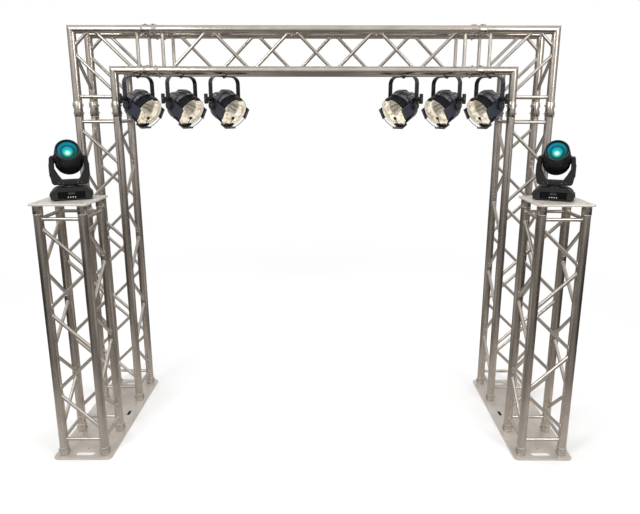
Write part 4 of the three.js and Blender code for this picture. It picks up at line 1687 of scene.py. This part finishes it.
@dataclass
class MovingHead:
    """A moving head light in its own frame: its front is along -Y and its base stands on Z = 0."""

    yaw: float = 24
    lift: float = 33
    x: float = 1.355
    y: float = -0.269
    z: float = 1.52015
    sides: int = 64
    width: float = 0.212
    depth: float = 0.150
    height: float = 0.072
    side_height: float = 0.034
    shoulder: float = 0.008
    top_width: float = 0.100
    foot: float = 0.006
    foot_inset: float = 0.026
    panel_height: float = 0.030
    buttons: tuple = (-0.0177, -0.0059, 0.0059, 0.0177)
    inlet_place: Pair = (0.054, 0.034)
    neck_depth: float = 0.022
    collar_inside: float = 0.0355
    fork_floor: float = 0.083
    arm_out: float = 0.102
    arm_wall: float = 0.025
    arm_depth: float = 0.078
    arm_top: float = 0.242
    tilt_height: float = 0.224
    axle_bore: float = 0.0114
    hub_start: float = 0.066
    cover_screws: Pair = (0.137, 0.190)
    fork_screws: tuple = (-0.058, -0.036, 0.036, 0.058)
    barrel_radius: float = 0.071
    nose_radius: float = 0.062
    nose_start: float = 0.030
    nose_end: float = 0.104
    glass_radius: float = 0.054
    nose_hoops: Triple = (0.044, 0.060, 0.076)
    rear_hoops: Triple = (-0.048, -0.038, -0.028)
    lugs_at: tuple = (45, 135, 225, 315)
    pieces: dict = field(default_factory=dict)

    def crown(self) -> list[Pair]:
        """Works out the curve of the base's domed top.

        Returns:
            Points in X and Z, from the right side to the flat middle.
        """
        half = self.width / 2
        start, pull = (half, self.side_height), (half - self.shoulder, self.height - self.shoulder)
        end = (self.top_width / 2, self.height)
        shares = [n / 9 for n in range(10)]
        return [tuple((1 - t) ** 2 * a + 2 * t * (1 - t) * b + t * t * c for a, b, c in zip(start, pull, end))
                for t in shares]

    def base(self) -> Piece:
        """Models the low case with its domed top, side grips, feet and inlet.

        Returns:
            The joined piece.
        """
        half, foot, high, back = self.width / 2, self.foot, self.height, self.depth / 2
        crown, (inlet_x, inlet_z) = self.crown(), self.inlet_place
        outline = [(-half, foot + 0.003), (-half + 0.003, foot), (half - 0.003, foot), (half, foot + 0.003)]
        case = prism(outline + crown + mirrored(crown), self.depth, 0.0025, 3)
        for tool in (
            block((0.1386, 0.010, 0.0386), (0, -back, self.panel_height), 0.0008),
            block((0.032, 0.032, 0.026), (inlet_x, back, inlet_z)),
            turned([(0.0212, high - self.neck_depth - 0.0003), (0.0212, 0.09)], 32),
        ):
            case = cut_away(case, tool)
        parts = [painted(case, LOOK.case)]
        for sx in (-1, 1):
            grip = prism([(0, 0.019), (0.0045, 0.021), (0.0075, 0.026), (0.0075, 0.034), (0.0035, 0.040),
                          (0, 0.041)], 0.112, 0.0015)
            flip = at(sx * (half - 0.002)) @ Matrix.Diagonal((sx, 1, 1, 1))
            parts.append(painted(grip, LOOK.barrel, flip))
            for sy in (-1, 1):
                pad = turned([(0.010, 0), (0.012, 0.0015), (0.012, 0.0075), (0.010, 0.009)], 24)
                spot = at(sx * (half - self.foot_inset), sy * (back - self.foot_inset))
                parts.append(painted(pad, LOOK.rubber, spot))
        inner = self.collar_inside
        collar = turned([(inner, high - 0.001), (0.046, high - 0.001), (0.0445, high + 0.0028),
                         (inner, high + 0.0028)], 40, True)
        socket = block((0.024, 0.004, 0.018), (inlet_x, back - 0.0142, inlet_z))
        return joined([*parts, painted(collar, LOOK.barrel), painted(socket, LOOK.knob)], "light base")

    def panel(self) -> Piece:
        """Models the control panel with its window and four buttons.

        Returns:
            The joined piece.
        """
        front = 0.005 - self.depth / 2
        parts = [
            painted(block((0.138, 0.003, 0.038), (0, front + 0.0012, self.panel_height), 0.0006), LOOK.badge),
            painted(block((0.034, 0.0012, 0.013), (0, front - 0.0006, 0.0385), 0.0003), LOOK.screen),
        ]
        for x in self.buttons:
            button = block((0.0060, 0.0020, 0.0056), (x, front - 0.0008, 0.0185), 0.0008)
            parts.append(painted(button, LOOK.button))
        return joined(parts, "control panel")

    def fork(self) -> Piece:
        """Models the fork with its axle bore, arm covers, screws and neck.

        Returns:
            The joined piece.
        """
        floor, out, top, high = self.fork_floor, self.arm_out, self.arm_top, self.height
        inner, round_top = out - self.arm_wall, self.arm_wall / 2
        outline = arc((out - 0.026, floor + 0.018), 0.018, -80, -10, 5)
        outline += [(out - 0.0022, floor + 0.050), (out, floor + 0.080), (out - 0.0018, floor + 0.118)]
        outline += arc((out - round_top - 0.004, top - round_top), round_top - 0.001, 10, 170, 10)
        outline += [(inner, floor + 0.084), (inner - 0.0165, floor + 0.051), (inner - 0.033, floor + 0.024)]
        shell = prism(outline + mirrored(outline), self.arm_depth, 0.0035, 3)
        axle = turned([(self.axle_bore, -0.15), (self.axle_bore, 0.15)], 24)
        shell = cut_away(shell, moved(axle, at(z=self.tilt_height) @ turn(90, "Y")))
        parts = [painted(shell, LOOK.case)]
        half_cover = [(0.024, 0.130), (0.028, 0.136), (0.028, 0.188), (0.022, 0.197)]
        for side in (-1, 1):
            cover = prism(half_cover + mirrored(half_cover), 0.003, 0.001)
            parts.append(painted(cover, LOOK.case, at(side * (out - 0.0008)) @ QUARTER))
            for height in self.cover_screws:
                head = turned([(0.0026, 0), (0.0026, 0.0008), (0.0014, 0.0012)], 12)
                parts.append(painted(head, LOOK.dark_steel, sideways(side, out + 0.0006, height)))
        for x in self.fork_screws:
            screw = turned([(0.0024, 0), (0.0024, 0.0010), (0.0012, 0.0014)], 12)
            spot = at(x, 0.0002 - self.arm_depth / 2, floor + 0.011)
            parts.append(painted(screw, LOOK.steel, spot @ FORWARD))
        neck = turned([
            (0.0200, high - self.neck_depth), (0.0200, high + 0.0003), (0.034, high + 0.0006),
            (0.034, floor + 0.001), (0.030, floor + 0.006),
        ], 40)
        return joined([*parts, painted(neck, LOOK.barrel)], "fork")

    def nose(self, height: float) -> float:
        """Returns the radius of the cone at a height in front of the tilt axle."""
        share = (height - self.nose_start) / (self.nose_end - self.nose_start)
        return self.barrel_radius + (self.nose_radius - self.barrel_radius) * share

    def barrel(self) -> Piece:
        """Models the barrel with its nose, rear cap, hubs and cooling ribs, facing -Y.

        Returns:
            The joined piece.
        """
        big, tip, nose, glass = self.barrel_radius, self.nose_end, self.nose_radius, self.glass_radius
        shell = turned([
            (0.024, -0.097), (0.041, -0.0955), (0.050, -0.090), (0.0585, -0.079), (0.066, -0.067),
            (0.0695, -0.060), (big, -0.053), (big, 0.027), (big - 0.0008, 0.031),
            (self.nose(tip - 0.006), tip - 0.006), (nose - 0.001, tip - 0.0015), (nose - 0.003, tip),
            (glass + 0.003, tip - 0.0012), (glass + 0.0015, tip - 0.006), (glass + 0.0015, 0.0885),
            (0.004, 0.088),
        ], self.sides)
        hoops = [(nose - 0.0022, 0.0024, 8, tip - 0.0012, LOOK.trim)]
        hoops += [(self.nose(height), 0.0012, 6, height, LOOK.barrel) for height in self.nose_hoops]
        hoops += [(big, 0.0014, 6, height, LOOK.case) for height in self.rear_hoops]
        parts = [painted(shell, LOOK.barrel, FORWARD)]
        for radius, thickness, facets, height, finish in hoops:
            parts.append(painted(ring(radius, thickness, self.sides, facets), finish, FORWARD @ at(z=height)))
        for angle in self.lugs_at:
            lug = block((0.028, 0.0035, 0.056), (0, -big - 0.0004, -0.008), 0.0012)
            parts.append(painted(lug, LOOK.case, FORWARD @ turn(angle, "Z")))
        for side in (-1, 1):
            hub = turned([(0.024, 0), (0.024, 0.0098), (0.0228, 0.0106), (0.011, 0.0106), (0.011, 0.0240),
                          (0.009, 0.0248)], 32)
            parts.append(painted(hub, LOOK.case, sideways(side, self.hub_start)))
        return joined(parts, "barrel")

    def glass(self) -> Piece:
        """Models the domed front lens, with a map of its face for the glow.

        Returns:
            The lens.
        """
        radius = self.glass_radius
        lens = face_map(turned([
            (radius, 0.0900), (radius, 0.0955), (radius - 0.003, 0.0968), (radius - 0.011, 0.0986),
            (radius - 0.023, 0.1000), (radius - 0.037, 0.1008), (0.004, 0.1010),
        ], 56), radius)
        return painted(lens, LOOK.teal, FORWARD)

    def model(self) -> None:
        """Models each piece of the light once."""
        self.pieces = {"base": self.base(), "panel": self.panel(), "fork": self.fork(),
                       "barrel": self.barrel(), "glass": self.glass()}

    def stand(self, side: int, name: str) -> None:
        """Stands a copy of the light on a tower, turned to the middle.

        Args:
            side: -1 for the left tower, 1 for the right one.
            name: the side's name.
        """
        place = at(side * self.x, self.y, self.z) @ turn(-side * self.yaw, "Z")
        tilt = place @ at(z=self.tilt_height) @ turn(-self.lift, "X")
        arms, can = f"head_yoke_{name}", f"head_barrel_{name}"
        plan = (
            ("base", place, STRUCTURE, "head_case", "head_base"),
            ("panel", place, STRUCTURE, "display", "head_display"),
            ("fork", place, arms, "head_case", "head_yoke"),
            ("barrel", tilt, can, "head_case", "head_barrel"),
            ("glass", tilt, can, "head_glass", "head_glass"),
        )
        for part, matrix, body, slot, node in plan:
            piece = copy_of(self.pieces[part], matrix)
            piece.name = f"light_{part}_{name}"
            seat(piece, body, [f"{node}_{name}"])


@dataclass
class Studio:
    """The camera, the soft lights, the floor and the pale surroundings."""

    eye: Triple = (0.0672, -3.2884, 2.0246)
    pitch: float = -12.366
    yaw: float = -0.018
    roll: float = -0.071
    focal: float = 542.19
    centre: Pair = (324.42, 226.03)
    frame_size: tuple[int, int] = (640, 514)
    sensor: float = 36
    nearest: float = 0.05
    floor_size: float = 24
    floor_z: float = -0.0005

    def camera(self) -> None:
        """Sets the camera up as it stood for the photograph."""
        settle()
        bpy.ops.object.camera_add(location=self.eye)
        camera = bpy.context.object
        wide, high = self.frame_size
        camera.data.sensor_width = self.sensor
        camera.data.sensor_fit = "HORIZONTAL"
        camera.data.lens = self.focal / wide * self.sensor
        camera.data.shift_x = (wide / 2 - self.centre[0]) / wide
        camera.data.shift_y = (self.centre[1] - high / 2) / wide
        camera.data.clip_start = self.nearest
        aim = turn(-self.yaw, "Z") @ turn(90 + self.pitch, "X") @ turn(-self.roll, "Z")
        camera.rotation_euler = aim.to_euler()
        bpy.context.scene.camera = camera

    def lamp(self, name: str, place: Triple, target: Triple, size: Pair, power: float) -> Piece:
        """Adds one soft rectangular lamp that faces a target.

        Args:
            name: its name.
            place: where it stands.
            target: where it points.
            size: its width and height.
            power: its power in watts.

        Returns:
            The lamp.
        """
        settle()
        bpy.ops.object.light_add(type="AREA", location=place)
        lamp = bpy.context.object
        lamp.name = name
        lamp.data.shape = "RECTANGLE"
        lamp.data.size, lamp.data.size_y = size
        lamp.data.energy = power
        lamp.rotation_euler = (Vector(target) - Vector(place)).to_track_quat("-Z", "Y").to_euler()
        return lamp

    def floor(self) -> None:
        """Adds a pale floor that fades into the surroundings."""
        settle()
        bpy.ops.mesh.primitive_plane_add(size=self.floor_size, location=(0, 0, self.floor_z))
        floor = bpy.context.object
        floor.name = "studio_floor"
        floor.data.materials.append(LOOK.floor.material())

    def surroundings(self) -> None:
        """Makes the world white where it is seen, and a soft grey for the light that it gives."""
        world = bpy.data.worlds.new("studio")
        bpy.context.scene.world = world
        world.use_nodes = True
        bench = NodeBench(world.node_tree)
        camera, clear, glossy = bench.rays("Camera", "Transmission", "Glossy")
        y, z = bench.parts(bench.coordinates("Generated"))[1:]
        behind, above = y.step(-0.5, 0.4), z.step(0.02, 0.42)
        shine = glossy * (above * (behind * 0.22 + 0.38) - behind * 0.42 + 0.6)
        plain = (1 - (camera + clear + glossy)) * 0.85
        values = {"Color": (1, 1, 1, 1), "Strength": camera + clear + shine + plain}
        bench.close("World", bench.node("ShaderNodeBackground", None, values))

    def build(self) -> None:
        """Sets the whole studio up."""
        self.camera()
        self.floor()
        self.surroundings()
        self.lamp("key", (-2.4, -3.2, 3.9), (0, 0, 1.2), (1.2, 1.2), 62)
        self.lamp("fill", (2.8, -3.0, 3.2), (0, 0, 1.2), (0.9, 1.8), 36)
        top = self.lamp("top", (0, 0.4, 4.6), (0, 0.2, 0), (3.2, 2.0), 60)
        top.visible_glossy = False
        bpy.context.scene.view_settings.view_transform = "Standard"


@dataclass
class Booth:
    """The whole truss booth."""

    tower_x: float = 1.355
    front: float = -0.305
    back: float = 0.305
    plate: float = 0.010
    beam_end: float = 1.0
    beam_z: float = 2.365
    lamps_per_side: int = 3
    lamp_inset: float = 0.146
    lamp_spacing: float = 0.267

    def lamp_places(self) -> list[tuple[float, int]]:
        """Works out where the can lamps hang.

        Returns:
            Each lamp's place from left to right, with its rank from the middle.
        """
        outer = self.tower_x - TrussStock.pitch - self.lamp_inset
        last = self.lamps_per_side - 1
        right = [(outer - (last - rank) * self.lamp_spacing, rank) for rank in range(self.lamps_per_side)]
        return [(-x, rank) for x, rank in reversed(right)] + right

    def trusses(self) -> None:
        """Builds the beam, the legs, the towers, the corner blocks and the plates."""
        stock, x_way, front_way = TrussStock(), Vector((1, 0, 0)), Vector((0, -1, 0))
        beam = StraightTruss(stock, LOOK.along, length=2.0, low=0.110, high=1.890,
                             rungs=(0.077, 1.923), diagonals=7)
        leg = StraightTruss(stock, LOOK.upright, length=2.0, low=0.152, high=1.890,
                            rungs=(0.097, 1.923), diagonals=7)
        tower = StraightTruss(stock, LOOK.upright, length=1.5, low=0.152, high=1.390,
                              rungs=(0.097, 1.423), diagonals=5)
        lie = at(-self.beam_end, self.back, self.beam_z) @ turn(90, "Y")
        beam.build("beam_tubes", lie, "beam_truss", (x_way, x_way))
        for side, name in SIDES:
            x = side * self.tower_x
            leg.build(f"leg_tubes_{name}", at(x, self.back, self.plate), f"leg_truss_{name}", (x_way, x_way))
            tower.build(f"tower_tubes_{name}", at(x, self.front, self.plate), f"tower_truss_{name}",
                        (x_way, front_way))
            CornerBlock(stock, side, name).build()
            Plates(stock, side, name).build()
        forget(*stock.templates)

    def lights(self) -> None:
        """Builds the can lamps and the moving heads."""
        lamp, head = CanLamp(), MovingHead()
        lamp.model()
        for number, (x, rank) in enumerate(self.lamp_places(), 1):
            lamp.hang(number, x, rank)
        head.model()
        for side, name in SIDES:
            head.stand(side, name)
        forget(*lamp.pieces.values(), *head.pieces.values())


def main() -> None:
    logging.basicConfig(level=logging.INFO, format="%(name)s: %(message)s")
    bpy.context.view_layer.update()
    booth = Booth()
    booth.trusses()
    booth.lights()
    Studio().build()


if __name__ == "__main__":
    main()
